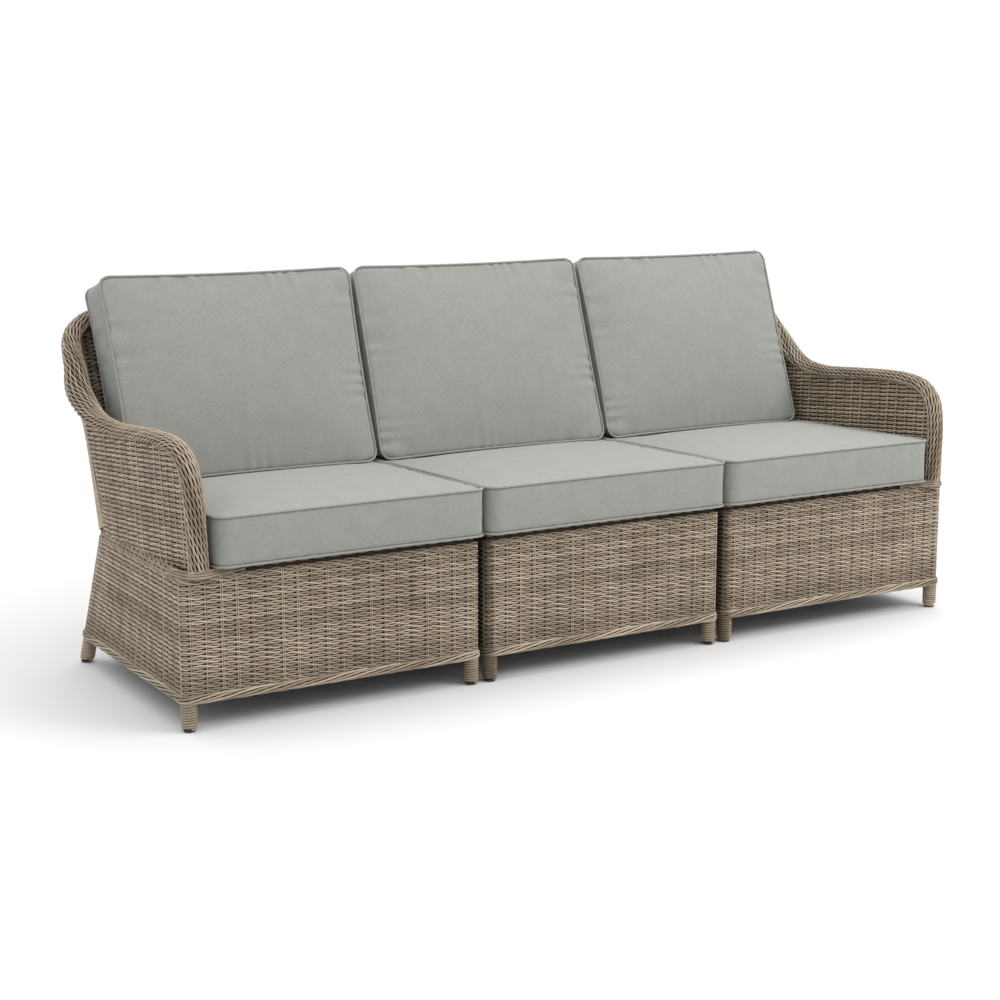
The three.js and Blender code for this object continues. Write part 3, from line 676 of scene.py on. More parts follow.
def base_lines(width, outer_inset):
    """The twined rows, those on the roll along the top, the stakes and the foot border of one base."""
    stakes = 2 * round(Wall(width, outer_inset, 40).length / STAKE_PITCH / 2)
    count = stakes * STEPS_PER_STAKE
    wall = Wall(width, outer_inset, count)
    grid = wall_grid(wall)
    out, up, along = ways(grid)
    turn = -math.pi * np.arange(count) / STEPS_PER_STAKE
    rows, edge, uprights, border = Lines(), Lines(), Lines(), Lines()
    for k in range(len(grid)):
        lines = rows if k < len(grid) - len(ROLLED_ROWS) else edge
        lines.add(grid[k], out[k], up[k], turn, closed=True)
    if outer_inset:
        side = np.flatnonzero(wall.inward[:, 0] > 0.9)
        side = side[side > count / 2]
        level = wall.rolled(SIDE_ROLLED_ROW, WEAVE_INSET)[side]
        edge.add(level, unit([-1, 0, 1]), unit([1, 0, 1]), turn[side])
    middle = CLEAR_HEIGHT + BRAID_HEIGHT / 2
    foot = wall.place(WEAVE_INSET, middle)
    for station in range(0, count, STEPS_PER_STAKE):
        points, sides, outs = (np.vstack([first[station], values[:-4:4, station], values[-4:-2, station]])
                               for first, values in ((foot, grid), (along[0], along), (out[0], out)))
        uprights.add(points, outs, sides, 0)
    turns = round(wall.length / BORDER_TURN_LENGTH)
    border.add(wall.place(BORDER_INSET, middle), out[0], (0, 0, 1), 2 * math.pi * turns * np.arange(count) / count,
               closed=True)
    return rows, edge, uprights, border


def shade_backing_rows(width, outer_inset):
    """A thin dark wall close behind the weave, painted shade: it stands in for the dark inside of the base, seen
    through the weave's holes.
    """
    wall = Wall(width, outer_inset, 120)
    low = np.full(len(wall.low), CLEAR_HEIGHT + SHADE_BACKING_LIFT)
    near, far = SHADE_BACKING_INSETS
    loops = [wall.place(inset, z) for inset, z in ((near, low), (near, wall.roll), (far, wall.roll), (far, low))]
    return np.stack(loops, axis=1)


# Sheets between the arm's tubes and in the back


def spans(polygon, level, axis):
    """Where a line at a level crosses a flat shape, as pairs of places along it."""
    a, b = polygon, np.roll(polygon, -1, axis=0)
    crossed = (a[:, axis] <= level) != (b[:, axis] <= level)
    a, b = a[crossed], b[crossed]
    share = (level - a[:, axis]) / (b[:, axis] - a[:, axis])
    found = np.sort(a[:, 1 - axis] + share * (b[:, 1 - axis] - a[:, 1 - axis]))
    return list(zip(found[::2], found[1::2]))


def sheet_lines(polygon, place, up, backwards=False):
    """Twined rows and stakes that fill a flat shape given by its run and its height."""
    rows, stakes = Lines(), Lines()
    way = -1 if backwards else 1
    for k in range(round(polygon[:, 1].min() / ROW_PITCH), int(polygon[:, 1].max() / ROW_PITCH)):
        level = (k + 0.5) * ROW_PITCH
        for start, end in spans(polygon, level, 1):
            if end - start < SHORTEST_ROW:
                continue
            at = np.linspace(start, end, max(3, math.ceil((end - start) / STAKE_PITCH * STEPS_PER_STAKE) + 1))
            points = place(at, np.full(len(at), level))
            along = way * unit(np.gradient(points, axis=0))
            rows.add(points, *turned(along, up), way * math.pi * at / STAKE_PITCH)
    for k in range(math.ceil(polygon[:, 0].min() / STAKE_PITCH), int(polygon[:, 0].max() / STAKE_PITCH) + 1):
        run = k * STAKE_PITCH
        for start, end in spans(polygon, run, 0):
            if end - start < 2 * ROW_PITCH:
                continue
            at = np.linspace(start, end, max(3, math.ceil((end - start) / STAKE_STEP) + 1))
            points, ahead = (place(np.full(len(at), there), at) for there in (run, run + 0.001))
            along = way * unit(ahead - points)
            stakes.add(points, unit(np.cross(along, up)), along, 0)
    return rows, stakes


def arm_share(z):
    """The share of the arm's rise at a height."""
    return np.clip((z - HOOP_START) / ARM_RISE, 0, 1)


def toe_at(z):
    """How far the arm stands in towards its foot at a height."""
    return ARM_TOE * (1 - arm_share(z))


def arm_outline():
    """The outline of an arm's side: under the rim, then down the corner post, just short of its middle."""
    line = hand_path(arm_points())
    _, _, _, outward = rim_frames(line)
    post = hand_path(corner_post_points())[::-1] - [0, POST_REACH, 0]
    top = (line + UNDER_RIM * outward)[:POST_MEETS + 1]
    front, rear = ((0, y, seat_top(y) - 3 * ROW_PITCH) for y in (top[0, 1], post[-1, 1]))
    return np.vstack([[front], top, post, [rear]])


def arm_sheet(outer):
    """One woven side of the arm, whose rows fall a little towards the rear."""
    edge = arm_outline()
    post = hand_path(corner_post_points())
    y, z = edge[:, 1], edge[:, 2]
    polygon = np.column_stack([y, z - SEAT_HEIGHT + ARM_ROW_FALL * y])
    face = ARM_CENTRE - RAIL_RADIUS - CLEARANCE - SKIN
    foot = corner_post_points()[0]
    toe = min(foot[0] - POST_RADIUS - WRAP - face, 2 * RAIL_RADIUS + CLEARANCE)

    def place(y, height):
        z = SEAT_HEIGHT + height - ARM_ROW_FALL * y
        if outer:
            x = face + SKIN / 2 + np.maximum(toe * np.minimum(1, y / foot[1]) * (1 - arm_share(z)), toe_at(z))
        else:
            x = ARM_CENTRE + RAIL_RADIUS + CLEARANCE + SKIN / 2 + toe_at(z)
        post_y, post_x = (np.interp(z, post[:, 2], post[:, k]) for k in (1, 0))
        near = np.clip((y - post_y + POST_REACH) / POST_EASE + 1, 0, 1)
        x += near * near * (3 - 2 * near) * (post_x + (-POST_SIDE if outer else POST_SIDE) - x)
        return np.column_stack([x, y, z])

    return sheet_lines(polygon, place, (0, 0, 1), backwards=outer)


def arm_shade_backing():
    """A thin dark sheet between the arm's two woven sides: painted shade, standing in for the dark inside of the
    arm seen through the weave's holes.
    """
    edge = arm_outline()
    middle = ARM_CENTRE + toe_at(edge[:, 2])
    return [np.column_stack([middle + side, edge[:, 1:]]) for side in (-SHADE_BACKING_HALF, SHADE_BACKING_HALF)]


def back_sheet(left_edge, right):
    """The single-layer back, between the posts and under the rim, and a thin dark sheet of painted shade in its
    middle that shows in the weave's holes.
    """
    foot, head = upright_ends()
    up = unit(head - foot)
    heights = (left_edge - foot) @ up
    top = (head - foot) @ up
    polygon = np.vstack([np.column_stack([left_edge[:, 0], heights]), [(right, top), (right, 0)]])

    def place(x, height):
        return foot + np.column_stack([x, np.zeros(len(x)), np.zeros(len(x))]) + height[:, None] * up

    across = np.cross((1, 0, 0), up)
    shade_backing = [place(*polygon.T) + side * across for side in (-SHADE_BACKING_HALF, SHADE_BACKING_HALF)]
    return *sheet_lines(polygon, place, up), shade_backing


# Rim


def rim_frames(line, step=None):
    """Places along the rim's tube at equal steps, or at its own points, with the ways across and outwards."""
    places, run = spaced(line, step) if step else (line, lengths_along(line))
    along = unit(np.gradient(places, axis=0))
    across = unit(np.column_stack([along[:, 1], -along[:, 0], np.zeros(len(along))]))
    return places, run, across, unit(np.cross(across, along))


def rim_crown(shrink, count):
    """The rim's rounded section from its inner to its outer edge."""
    turn = np.linspace(0, math.pi, count)
    half, rise = RIM_HALF - shrink, RIM_RISE - shrink
    return np.column_stack([half * np.cos(turn), RIM_LIFT + RIM_SIDE + rise * np.sin(turn)])


def swollen(points, places, across, reach):
    """Moves places beside the rim's line outwards where the rim is fuller, up its wing."""
    climb = np.clip((places[:, 2] - ARM_TOP + SWELL_BELOW) / BACK_RISE, 0, 1)
    behind = np.clip((places[:, 1] - ARM_BACK) / SWELL_AHEAD + 1, 0, 1)
    fuller = RIM_SWELL * np.sin(math.pi * climb) ** 2 * behind - RIM_PARING * (1 - behind)
    share = SWELL_MIDDLE - SWELL_SLANT * np.clip(reach / RIM_HALF, -1, 1)
    return points - (fuller * share)[:, None] * across


def rim_lines(line):
    """Long strands that cross the rim at a low angle, from under its inner edge to under its outer one."""
    places, run, across, outward = rim_frames(line, RIM_STEP)
    half = RIM_HALF - STRAND_INSET
    hem = [(half - HEM, RIM_LIFT - 0.004), (half - 0.001, RIM_LIFT - 0.001)]
    section = np.vstack([hem, rim_crown(STRAND_INSET, 61), [(-x, z) for x, z in reversed(hem)]])
    reach = lengths_along(section)
    step = RIM_TRAVEL / STRANDS_OVER_RIM
    strands = Lines()

    def on_section(at):
        return np.column_stack([np.interp(at, reach, section[:, i]) for i in range(2)])

    for k in range(int((run[-1] + RIM_TRAVEL) / step) + 1):
        share = (run - k * step) / RIM_TRAVEL + 1
        on = (share >= 0) & (share <= 1)
        if on.sum() < 4:
            continue
        at = share[on] * reach[-1]
        (a, b), flat = on_section(at).T, unit(on_section(at + 0.003) - on_section(at - 0.003))
        points = places[on] + a[:, None] * across[on] + b[:, None] * outward[on]
        points = swollen(points, places[on], across[on], a)
        points[:, 0] += toe_at(points[:, 2])
        side = flat[:, :1] * across[on] + flat[:, 1:] * outward[on]
        out = flat[:, 1:] * across[on] - flat[:, :1] * outward[on]
        strands.add(points, out, side, 2 * math.pi * run[on] / RIM_SWAY + math.pi * k)
    return strands


def rim_core(line):
    """The padded core under the rim's strands, dark with painted shade where it shows between them."""
    places, _, across, outward = rim_frames(line, CORE_STEP)
    half = RIM_HALF - CORE_INSET
    section = np.vstack([rim_crown(CORE_INSET, 13), [(-half, RIM_LIFT - 0.002), (half, RIM_LIFT - 0.002)]])
    loops = [swollen(places + a * across + b * outward, places, across, np.full(len(places), a))
             for a, b in section]
    rows = np.stack(loops, axis=1)
    rows[..., 0] += toe_at(rows[..., 2])
    return rows


def in_module(places, module):
    """Places of a module moved to where it stands, mirrored for the right-hand end."""
    if module == "right":
        return places * [-1, 1, 1] + [TOTAL_WIDTH, 0, 0]
    return places + [END_WIDTH + MODULE_GAP if module == "middle" else 0, 0, 0]


def shell(name, rows, module, material, ring=False):
    """A closed skin over rows of places, each a closed loop: a ring, or with flat ends."""
    rows = in_module(np.asarray(rows, float), module)
    count, around = rows.shape[:2]
    faces = []
    for r in range(count if ring else count - 1):
        here, ahead = r * around, (r + 1) % count * around
        for i in range(around):
            j = (i + 1) % around
            faces.append((here + i, here + j, ahead + j, ahead + i))
    if not ring:
        faces += [tuple(reversed(range(around))), tuple(range((count - 1) * around, count * around))]
    mesh = bpy.data.meshes.new(name)
    mesh.from_pydata((rows.reshape(-1, 3) + ORIGIN).tolist(), [], faces)
    point_outwards(mesh)
    mesh.materials.append(material)
    holder = linked(name, mesh)
    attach(holder, "sofa")


def point_outwards(mesh):
    work = bmesh.new()
    work.from_mesh(mesh)
    bmesh.ops.recalc_face_normals(work, faces=work.faces)
    work.to_mesh(mesh)
    work.free()


# Trees


class Tree(Net):
    """A geometry tree with named sizes, built one node at a time."""

    KINDS = {float: "NodeSocketFloat", int: "NodeSocketInt", type(None): "NodeSocketMaterial"}

    def __init__(self, name, sizes):
        self.group = bpy.data.node_groups.new(name, "GeometryNodeTree")
        super().__init__(self.group)
        face = self.group.interface
        face.new_socket("Geometry", in_out="INPUT", socket_type="NodeSocketGeometry")
        for label, value in {**sizes, "Finish": None}.items():
            socket = face.new_socket(label, in_out="INPUT", socket_type=self.KINDS[type(value)])
            if value is not None:
                socket.default_value = value
        face.new_socket("Geometry", in_out="OUTPUT", socket_type="NodeSocketGeometry")
        self.start = self.nodes.new("NodeGroupInput")

    def size(self, label):
        return self.start.outputs[label]

    def scaled(self, vector, amount):
        return self.add("ShaderNodeVectorMath", {0: vector, "Scale": amount}, operation="SCALE").outputs[0]

    def sum(self, a, b):
        return self.add("ShaderNodeVectorMath", {0: a, 1: b}, operation="ADD").outputs[0]

    def known(self, label, kind="FLOAT_VECTOR"):
        return self.add("GeometryNodeInputNamedAttribute", {"Name": label}, data_type=kind).outputs[0]

    def keep(self, geometry, label, value, kind="FLOAT", domain="POINT"):
        inputs = {"Geometry": geometry, "Name": label, "Value": value}
        return self.add("GeometryNodeStoreNamedAttribute", inputs, data_type=kind, domain=domain).outputs[0]

    def run_along(self):
        return self.add("GeometryNodeSplineParameter").outputs["Length"]

    def curves(self, offset=None):
        """The tree's lines as curves, moved aside if asked."""
        lines = self.size("Geometry")
        if offset is not None:
            lines = self.moved(lines, offset)
        return self.add("GeometryNodeMeshToCurve", {"Mesh": lines}).outputs[0]

    def moved(self, geometry, offset):
        return self.add("GeometryNodeSetPosition", {"Geometry": geometry, "Offset": offset}).outputs[0]

    def jitter(self, scale):
        """A small irregular offset that changes slowly from place to place."""
        place = self.add("GeometryNodeInputPosition").outputs[0]
        noise = self.add("ShaderNodeTexNoise", {"Vector": place, "Scale": scale, "Detail": 1.0}).outputs["Color"]
        centred = self.add("ShaderNodeVectorMath", {0: noise, 1: (0.5, 0.5, 0.5)}, operation="SUBTRACT")
        return self.scaled(centred.outputs[0], self.size("Unevenness"))

    def profile(self, thickness, width):
        """A strand's rounded section: thickness lies along the outward way, width beside it."""
        ring = self.add("GeometryNodeCurvePrimitiveCircle", {"Resolution": self.size("Sides"), "Radius": 1.0})
        place = self.add("GeometryNodeInputPosition").outputs[0]
        split = self.add("ShaderNodeSeparateXYZ", {0: place}).outputs
        ring = self.keep(ring.outputs[0], "beside", self.times(split["Y"], width))
        thick = self.times(split["X"], self.times(thickness, 0.5))
        wide = self.times(split["Y"], self.times(width, 0.5))
        place = self.add("ShaderNodeCombineXYZ", {"X": thick, "Y": wide}).outputs[0]
        return self.add("GeometryNodeSetPosition", {"Geometry": ring, "Position": place}).outputs[0]

    def strand(self, curves, out, number=0, section=("Thickness", "Width")):
        """Gives a line its body, its tone and its own coordinates along and across."""
        thickness, width = (self.size(part) if isinstance(part, str) else part for part in section)
        curves = self.keep(curves, "run", self.run_along())
        tone_number = self.plus(self.known("line", "INT"), number)
        random = self.add("FunctionNodeRandomValue", {"ID": tone_number, "Seed": self.size("Seed")},
                          data_type="FLOAT")
        curves = self.keep(curves, "tint", random.outputs[1])
        curves = self.add("GeometryNodeSetCurveNormal", {"Curve": curves, "Normal": out}, mode="FREE").outputs[0]
        inputs = {"Curve": curves, "Profile Curve": self.profile(thickness, width), "Fill Caps": True}
        mesh = self.add("GeometryNodeCurveToMesh", inputs).outputs[0]
        shift = self.times(self.known("tint", "FLOAT"), 7.0)
        cloth = {"X": self.plus(self.known("run", "FLOAT"), shift), "Y": self.known("beside", "FLOAT")}
        place = self.add("ShaderNodeCombineXYZ", cloth).outputs[0]
        return self.keep(mesh, "UVMap", place, "FLOAT2", "CORNER")

    def close(self, pieces):
        join = self.add("GeometryNodeJoinGeometry")
        for piece in pieces:
            self.links.new(piece, join.inputs[0])
        smooth = self.add("GeometryNodeSetShadeSmooth", {"Geometry": join.outputs[0]}).outputs[0]
        real = self.add("GeometryNodeRealizeInstances", {"Geometry": smooth}).outputs[0]
        done = self.add("GeometryNodeSetMaterial", {"Geometry": real, "Material": self.size("Finish")}).outputs[0]
        self.links.new(done, self.nodes.new("NodeGroupOutput").inputs[0])
        return self.group


def laid_tree(name, strands, sizes):
    """Strands laid round each line: they swing outwards and sideways in turn, evenly apart."""
    t = Tree(name, sizes)
    turn, out, side = t.known("turn", "FLOAT"), t.known("out"), t.known("side")
    beside = t.math("ABSOLUTE", t.add("ShaderNodeSeparateXYZ", {0: out}).outputs["X"])
    share = t.math("SUBTRACT", 1.0, t.times(t.math("POWER", beside, 2.0), t.size("Finer Beside")))
    aside = t.times(share, t.size("Swing Aside"))
    pieces = []
    for k in range(strands):
        here = t.plus(turn, 2 * math.pi * k / strands)
        swing = t.scaled(out, t.times(t.math("COSINE", here), t.size("Swing Out")))
        sway = t.scaled(side, t.times(t.math("SINE", here), aside))
        curves = t.curves(t.sum(t.sum(swing, sway), t.jitter(43.0 + 7 * k)))
        curves = t.add("GeometryNodeSetCurveRadius", {"Curve": curves, "Radius": share}).outputs[0]
        pieces.append(t.strand(curves, t.known("out"), 1000 * k))
    return t.close(pieces)


def stake_tree():
    """Pairs of thin uprights that the rows are twined round."""
    t = Tree("twin_stakes", {"Gap": 0.0042, "Thickness": 0.0024, "Width": 0.0026, "Sides": 5, "Seed": 3})
    pieces = []
    for k, way in enumerate((-0.5, 0.5)):
        curves = t.curves(t.scaled(t.known("side"), t.times(t.size("Gap"), way)))
        pieces.append(t.strand(curves, t.known("out"), 1000 * k))
    return t.close(pieces)


def wrapping_tree():
    """A flat strand wound closely round a leg or a post."""
    t = Tree("wound_strand", {"Radius": 0.016, "Pitch": 0.0052, "Steps Per Turn": 14, "Thickness": POST_STRAND,
                              "Width": 0.0056, "Sides": 6, "Unevenness": 0.0006, "Seed": 5})
    step = t.math("DIVIDE", t.size("Pitch"), t.size("Steps Per Turn"))
    spaced_out = {"Curve": t.curves(), "Length": step}
    curves = t.add("GeometryNodeResampleCurve", spaced_out, mode="LENGTH").outputs[0]
    turn = t.times(t.math("DIVIDE", t.run_along(), t.size("Pitch")), 2 * math.pi)
    way = t.sum(t.scaled(t.known("out"), t.math("COSINE", turn)), t.scaled(t.known("side"), t.math("SINE", turn)))
    curves = t.keep(curves, "way", way, "FLOAT_VECTOR")
    curves = t.moved(curves, t.sum(t.scaled(t.known("way"), t.size("Radius")), t.jitter(120.0)))
    return t.close([t.strand(curves, t.known("way"))])


def piping_tree():
    """The covered cord sewn into a cushion's seam."""
    t = Tree("piping_cord", {"Radius": PIPING_RADIUS, "Sides": 10, "Unevenness": 0.0008, "Seed": 9})
    double = t.times(t.size("Radius"), 2.0)
    return t.close([t.strand(t.curves(t.jitter(60.0)), t.known("out"), 0, (double, double))])


def grown(name, lines, tree, finish, body="sofa", slot="woven_rattan", nodes=(), **sizes):
    """Runs a tree on lines and keeps what it makes as a plain mesh that rides on a body."""
    holder = lines.carrier(name)
    modifier = holder.modifiers.new("growth", "NODES")
    modifier.node_group = tree
    wanted = {label.replace("_", " "): value for label, value in sizes.items()}
    for item in tree.interface.items_tree:
        if item.in_out == "INPUT" and item.name == "Finish":
            modifier[item.identifier] = finish
        elif item.in_out == "INPUT" and item.name in wanted:
            modifier[item.identifier] = wanted[item.name]
    made = baked(holder)
    bpy.data.objects.remove(holder)
    made.name = name
    for label in ("out", "side", "turn", "line", "run", "beside", "way"):
        if label in made.attributes:
            made.attributes.remove(made.attributes[label])
    piece = linked(name, made)
    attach(piece, body)
    if nodes:
        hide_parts(*nodes)


# Cushions


def panel_grid(half, radius, columns, rows):
    """Places of a rounded rectangle's grid, and how near each lies to its edge, from 0 to 1."""
    s, t = np.meshgrid(np.linspace(-1, 1, columns + 1), np.linspace(-1, 1, rows + 1), indexing="ij")
    ring = np.maximum(abs(s), abs(t))
    hx, hy = ring * half[0], ring * half[1]
    x, y = abs(s) * half[0], abs(t) * half[1]
    bend = radius * ring**3
    corner = (x > hx - bend) & (y > hy - bend) & (ring > 0)
    on_side = abs(s) >= abs(t)
    safe = np.where(bend > 0, bend, 1)
    turn = np.where(on_side, (y - (hy - bend)) / (2 * safe), 0.5 + (hx - x) / (2 * safe)) * math.pi / 2
    x = np.where(corner, hx - bend + bend * np.cos(turn), x)
    y = np.where(corner, hy - bend + bend * np.sin(turn), y)
    draw = CUSHION_DRAW * ring**6
    x -= draw * (1 - np.minimum(1, abs(t)) ** 2) * on_side
    y -= draw * (1 - np.minimum(1, abs(s)) ** 2) * (abs(t) >= abs(s))
    return np.sign(s) * x, np.sign(t) * y, ring


class Cushion:
    """A boxed cushion: two panels on a grid and a band between the seams, first tight, then stuffed."""

    def __init__(self, name, width, length, thickness, crown, place, crease_depth, lift=0.0):
        self.name, self.thickness, self.crease_depth = name, thickness, crease_depth
        columns, rows = round(width / CLOTH_STEP), round(length / CLOTH_STEP)
        half = (width / 2 - PIPING_RADIUS, length / 2 - PIPING_RADIUS)
        x, y, ring = panel_grid(half, CUSHION_CORNER, columns, rows)
        low, high = self.seams = (PIPING_RADIUS, thickness - PIPING_RADIUS + lift)
        index = np.arange(x.size).reshape(x.shape)
        border = np.concatenate([index[:-1, 0], index[-1, :-1], index[:0:-1, -1], index[0, :0:-1]])
        dome = np.clip(1 - ring**2.6, 0, 1)
        flat = np.column_stack([x.ravel() + width / 2, y.ravel() + length / 2])
        heights = [low - dome.ravel() * low, high + dome.ravel() * crown]
        points = [np.column_stack([flat, h]) for h in heights]
        levels = max(4, round(thickness / CLOTH_STEP))
        belt = [np.column_stack([flat[border], np.full(len(border), low + (high - low) * k / levels)])
                for k in range(1, levels)]
        self.local = np.vstack(points + belt)
        self.rest = place(*self.local.T)
        size = x.size
        self.loops = [border, border + size]
        rings = [border, *(2 * size + np.arange(len(border)) + k * len(border) for k in range(levels - 1)),
                 border + size]
        faces, uvs = [], []
        for i in range(columns):
            for j in range(rows):
                quad = [index[i, j], index[i + 1, j], index[i + 1, j + 1], index[i, j + 1]]
                faces += [quad[::-1], [v + size for v in quad]]
                uvs += [flat[quad[::-1]], flat[quad]]
        run = lengths_along(np.vstack([flat[border], flat[border[:1]]]))
        for k in range(levels):
            for i in range(len(border)):
                j = (i + 1) % len(border)
                faces.append([rings[k][i], rings[k][j], rings[k + 1][j], rings[k + 1][i]])
                u, v = (run[i], run[i + 1]), (thickness * k / levels, thickness * (k + 1) / levels)
                uvs.append(np.array([(u[0], v[0]), (u[1], v[0]), (u[1], v[1]), (u[0], v[1])]) + 1.3)
        mesh = bpy.data.meshes.new(name)
        mesh.from_pydata(self.rest.tolist(), [], [[int(v) for v in f] for f in faces])
        layer = mesh.uv_layers.new(name="UVMap")
        layer.data.foreach_set("uv", np.concatenate(uvs).astype(np.float32).ravel())
        self.holder = linked(name, mesh)

    def stuff(self, looser, pressure, held):
        """Fills the cover with air in a cloth simulation, while its seams stay where they are sewn."""
        pins = self.holder.vertex_groups.new(name="seams")
        pins.add([int(v) for v in np.unique(np.concatenate([*self.loops, held]))], 1.0, "REPLACE")
        loose = self.holder.vertex_groups.new(name="loose")
        ripple = np.sin(self.local[:, 0] * 61 + 2.1) * np.sin(self.local[:, 1] * 47 + 0.6)
        for v, share in enumerate(0.5 + 0.5 * ripple):
            loose.add([v], float(share), "REPLACE")
        cloth = self.holder.modifiers.new("stuffing", "CLOTH")
        chosen = {"uniform_pressure_force": pressure, "shrink_min": -looser, "shrink_max": -0.2 * looser}
        for label, value in {**CLOTH_SETTINGS, **chosen}.items():
            setattr(cloth.settings, label, value)
        cloth.settings.effector_weights.gravity = 0

    def settle(self, limit):
        """Takes the simulated shape, keeps it within its place, and works it back into the local sizes."""
        made = baked(self.holder)
        shape = read(made.vertices, "co")
        bpy.data.meshes.remove(made)
        self.holder.modifiers.clear()
        self.holder.vertex_groups.clear()
        return limit(self, shape.astype(float) - self.rest)

    def crease(self, mesh):
        """Gathers the cloth in small folds that run away from its seams."""
        points, normals = (read(mesh.vertices, label) for label in ("co", "normal"))
        a, b, c = read(mesh.attributes["local"].data, "vector").T
        mesh.attributes.remove(mesh.attributes["local"])
        phase = a.max() * 9 + self.crease_depth * 4000
        folds = np.zeros(len(points))
        for away, along, turn in ((a, b, 0.3), (a.max() - a, b, 2.2), (b, a, 4.1), (b.max() - b, a, 5.9)):
            fade = np.exp(-away / FOLD_LENGTH) * (1 - np.exp(-away / FOLD_START))
            folds += puckers(along, phase + turn) * fade
        panel = (c > self.seams[1] - 0.001) | (c < self.seams[0] + 0.001)
        belt = puckers(a + b, phase) * np.sin(math.pi * np.clip(c / self.thickness, 0, 1)) * BELT_FOLD_SHARE
        points += (self.crease_depth * np.where(panel, folds, belt))[:, None] * normals
        mesh.vertices.foreach_set("co", points.ravel())
        mesh.update()

    def finish(self, shift, material, body):
        points = self.rest + shift + ORIGIN
        mesh = self.holder.data
        local = mesh.attributes.new("local", "FLOAT_VECTOR", "POINT")
        local.data.foreach_set("vector", self.local.astype(np.float32).ravel())
        mesh.vertices.foreach_set("co", points.astype(np.float32).ravel())
        mesh.materials.append(material)
        mesh.shade_smooth()
        smooth = self.holder.modifiers.new("smooth", "SUBSURF")
        smooth.levels = smooth.render_levels = 1
        smooth.uv_smooth = "PRESERVE_CORNERS"
        made = baked(self.holder)
        bpy.data.objects.remove(self.holder)
        made.name = self.name
        self.crease(made)
        cover = linked(self.name + "_cover", made)
        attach(cover, body)
        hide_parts(self.name)
        cords = Lines()
        for loop in self.loops:
            line = points[loop] - ORIGIN
            along = unit(np.roll(line, -1, axis=0) - np.roll(line, 1, axis=0))
            cords.add(line, *turned(along, (0, 0.2, 1)), 0, closed=True)
        return cords


def puckers(along, phase):
    """Small uneven folds that follow one another along a seam, from -1 to 1."""
    turn = 2 * math.pi * along
    beat = np.sin(turn / FOLD_PITCH + 2.4 * np.sin(turn / FOLD_DRIFT + phase))
    return beat * (0.5 + 0.5 * np.sin(turn / FOLD_REST + 1.7 * phase)) ** 1.5


def seat_place(start):
    def place(a, b, c):
        y = SEAT_FRONT + b
        return np.column_stack([start + a, y, seat_top(y) + CLEARANCE + c])
    return place


def back_place(start, end, lean_out):
    """Places of a back cushion whose two sides lean by set amounts at the top."""
    foot = seat_top(BACK_FOOT) + 2 * CLEARANCE + SEAT_THICKNESS
    press = BACK_THICKNESS * (math.tan(BACK_LEAN) - SEAT_RAKE / math.cos(BACK_LEAN))

    def place(a, b, c):
        height = b / BACK_HEIGHT
        behind = BACK_THICKNESS - c
        up = b + (1 - height) * press * (behind / BACK_THICKNESS)
        share = a / (end - start)
        across = a + height * height * (lean_out[0] * (1 - share) + lean_out[1] * share)
        return np.column_stack([
            start + across,
            BACK_FOOT + up * math.sin(BACK_LEAN) + behind * math.cos(BACK_LEAN),
            foot + up * math.cos(BACK_LEAN) - behind * math.sin(BACK_LEAN),
        ])
    return place


def eased(value, low, high):
    """Holds a value between two limits, with a soft approach to each."""
    up = high * np.tanh(np.maximum(value, 0) / high)
    down = low * np.tanh(np.maximum(-value, 0) / low)
    return up - down


def limit_seat(cushion, shift):
    """The seat lies flat on the deck, keeps off its neighbours, and is pressed flat under the back cushion."""
    _, b, c = cushion.local.T
    across, along, rise = (eased(shift[:, k], *SEAT_BULGES[k]) for k in range(3))
    depth = SEAT_FRONT + b + along
    room = np.clip((BACK_FOOT - PRESSED_AHEAD - depth) / PRESSED_FADE, 0, 1)
    room = SEAT_THICKNESS + SEAT_ROOM * room**1.5
    height = np.clip(c + rise, 0, np.where(c > PIPING_RADIUS * 2, room, 1))
    return np.column_stack([across, along, height - c])


def limit_back(cushion, shift):
    """The back stands flat on its foot, keeps off its neighbours and leans flat behind."""
    rising = np.array([0, math.sin(BACK_LEAN), math.cos(BACK_LEAN)])
    facing = np.array([0, -math.cos(BACK_LEAN), math.sin(BACK_LEAN)])
    ways = (shift[:, 0], shift @ rising, shift @ facing)
    across, up, front = (eased(way, *bulge) for way, bulge in zip(ways, BACK_BULGES))
    moved = front[:, None] * facing + up[:, None] * rising
    moved[:, 0] += across
    place = cushion.rest + moved
    floor = seat_top(0) - SEAT_RAKE * place[:, 1] + 2 * CLEARANCE + SEAT_THICKNESS
    moved[:, 2] += np.maximum(0, floor - place[:, 2])
    return moved


def cushion_spans(arm_gap, joint_gap):
    """Where the cushion of each module starts and ends."""
    join = END_WIDTH + MODULE_GAP / 2
    right = TOTAL_WIDTH - join
    yield "left", arm_gap, join - joint_gap
    yield "middle", join + joint_gap, right - joint_gap
    yield "right", right + joint_gap, TOTAL_WIDTH - arm_gap


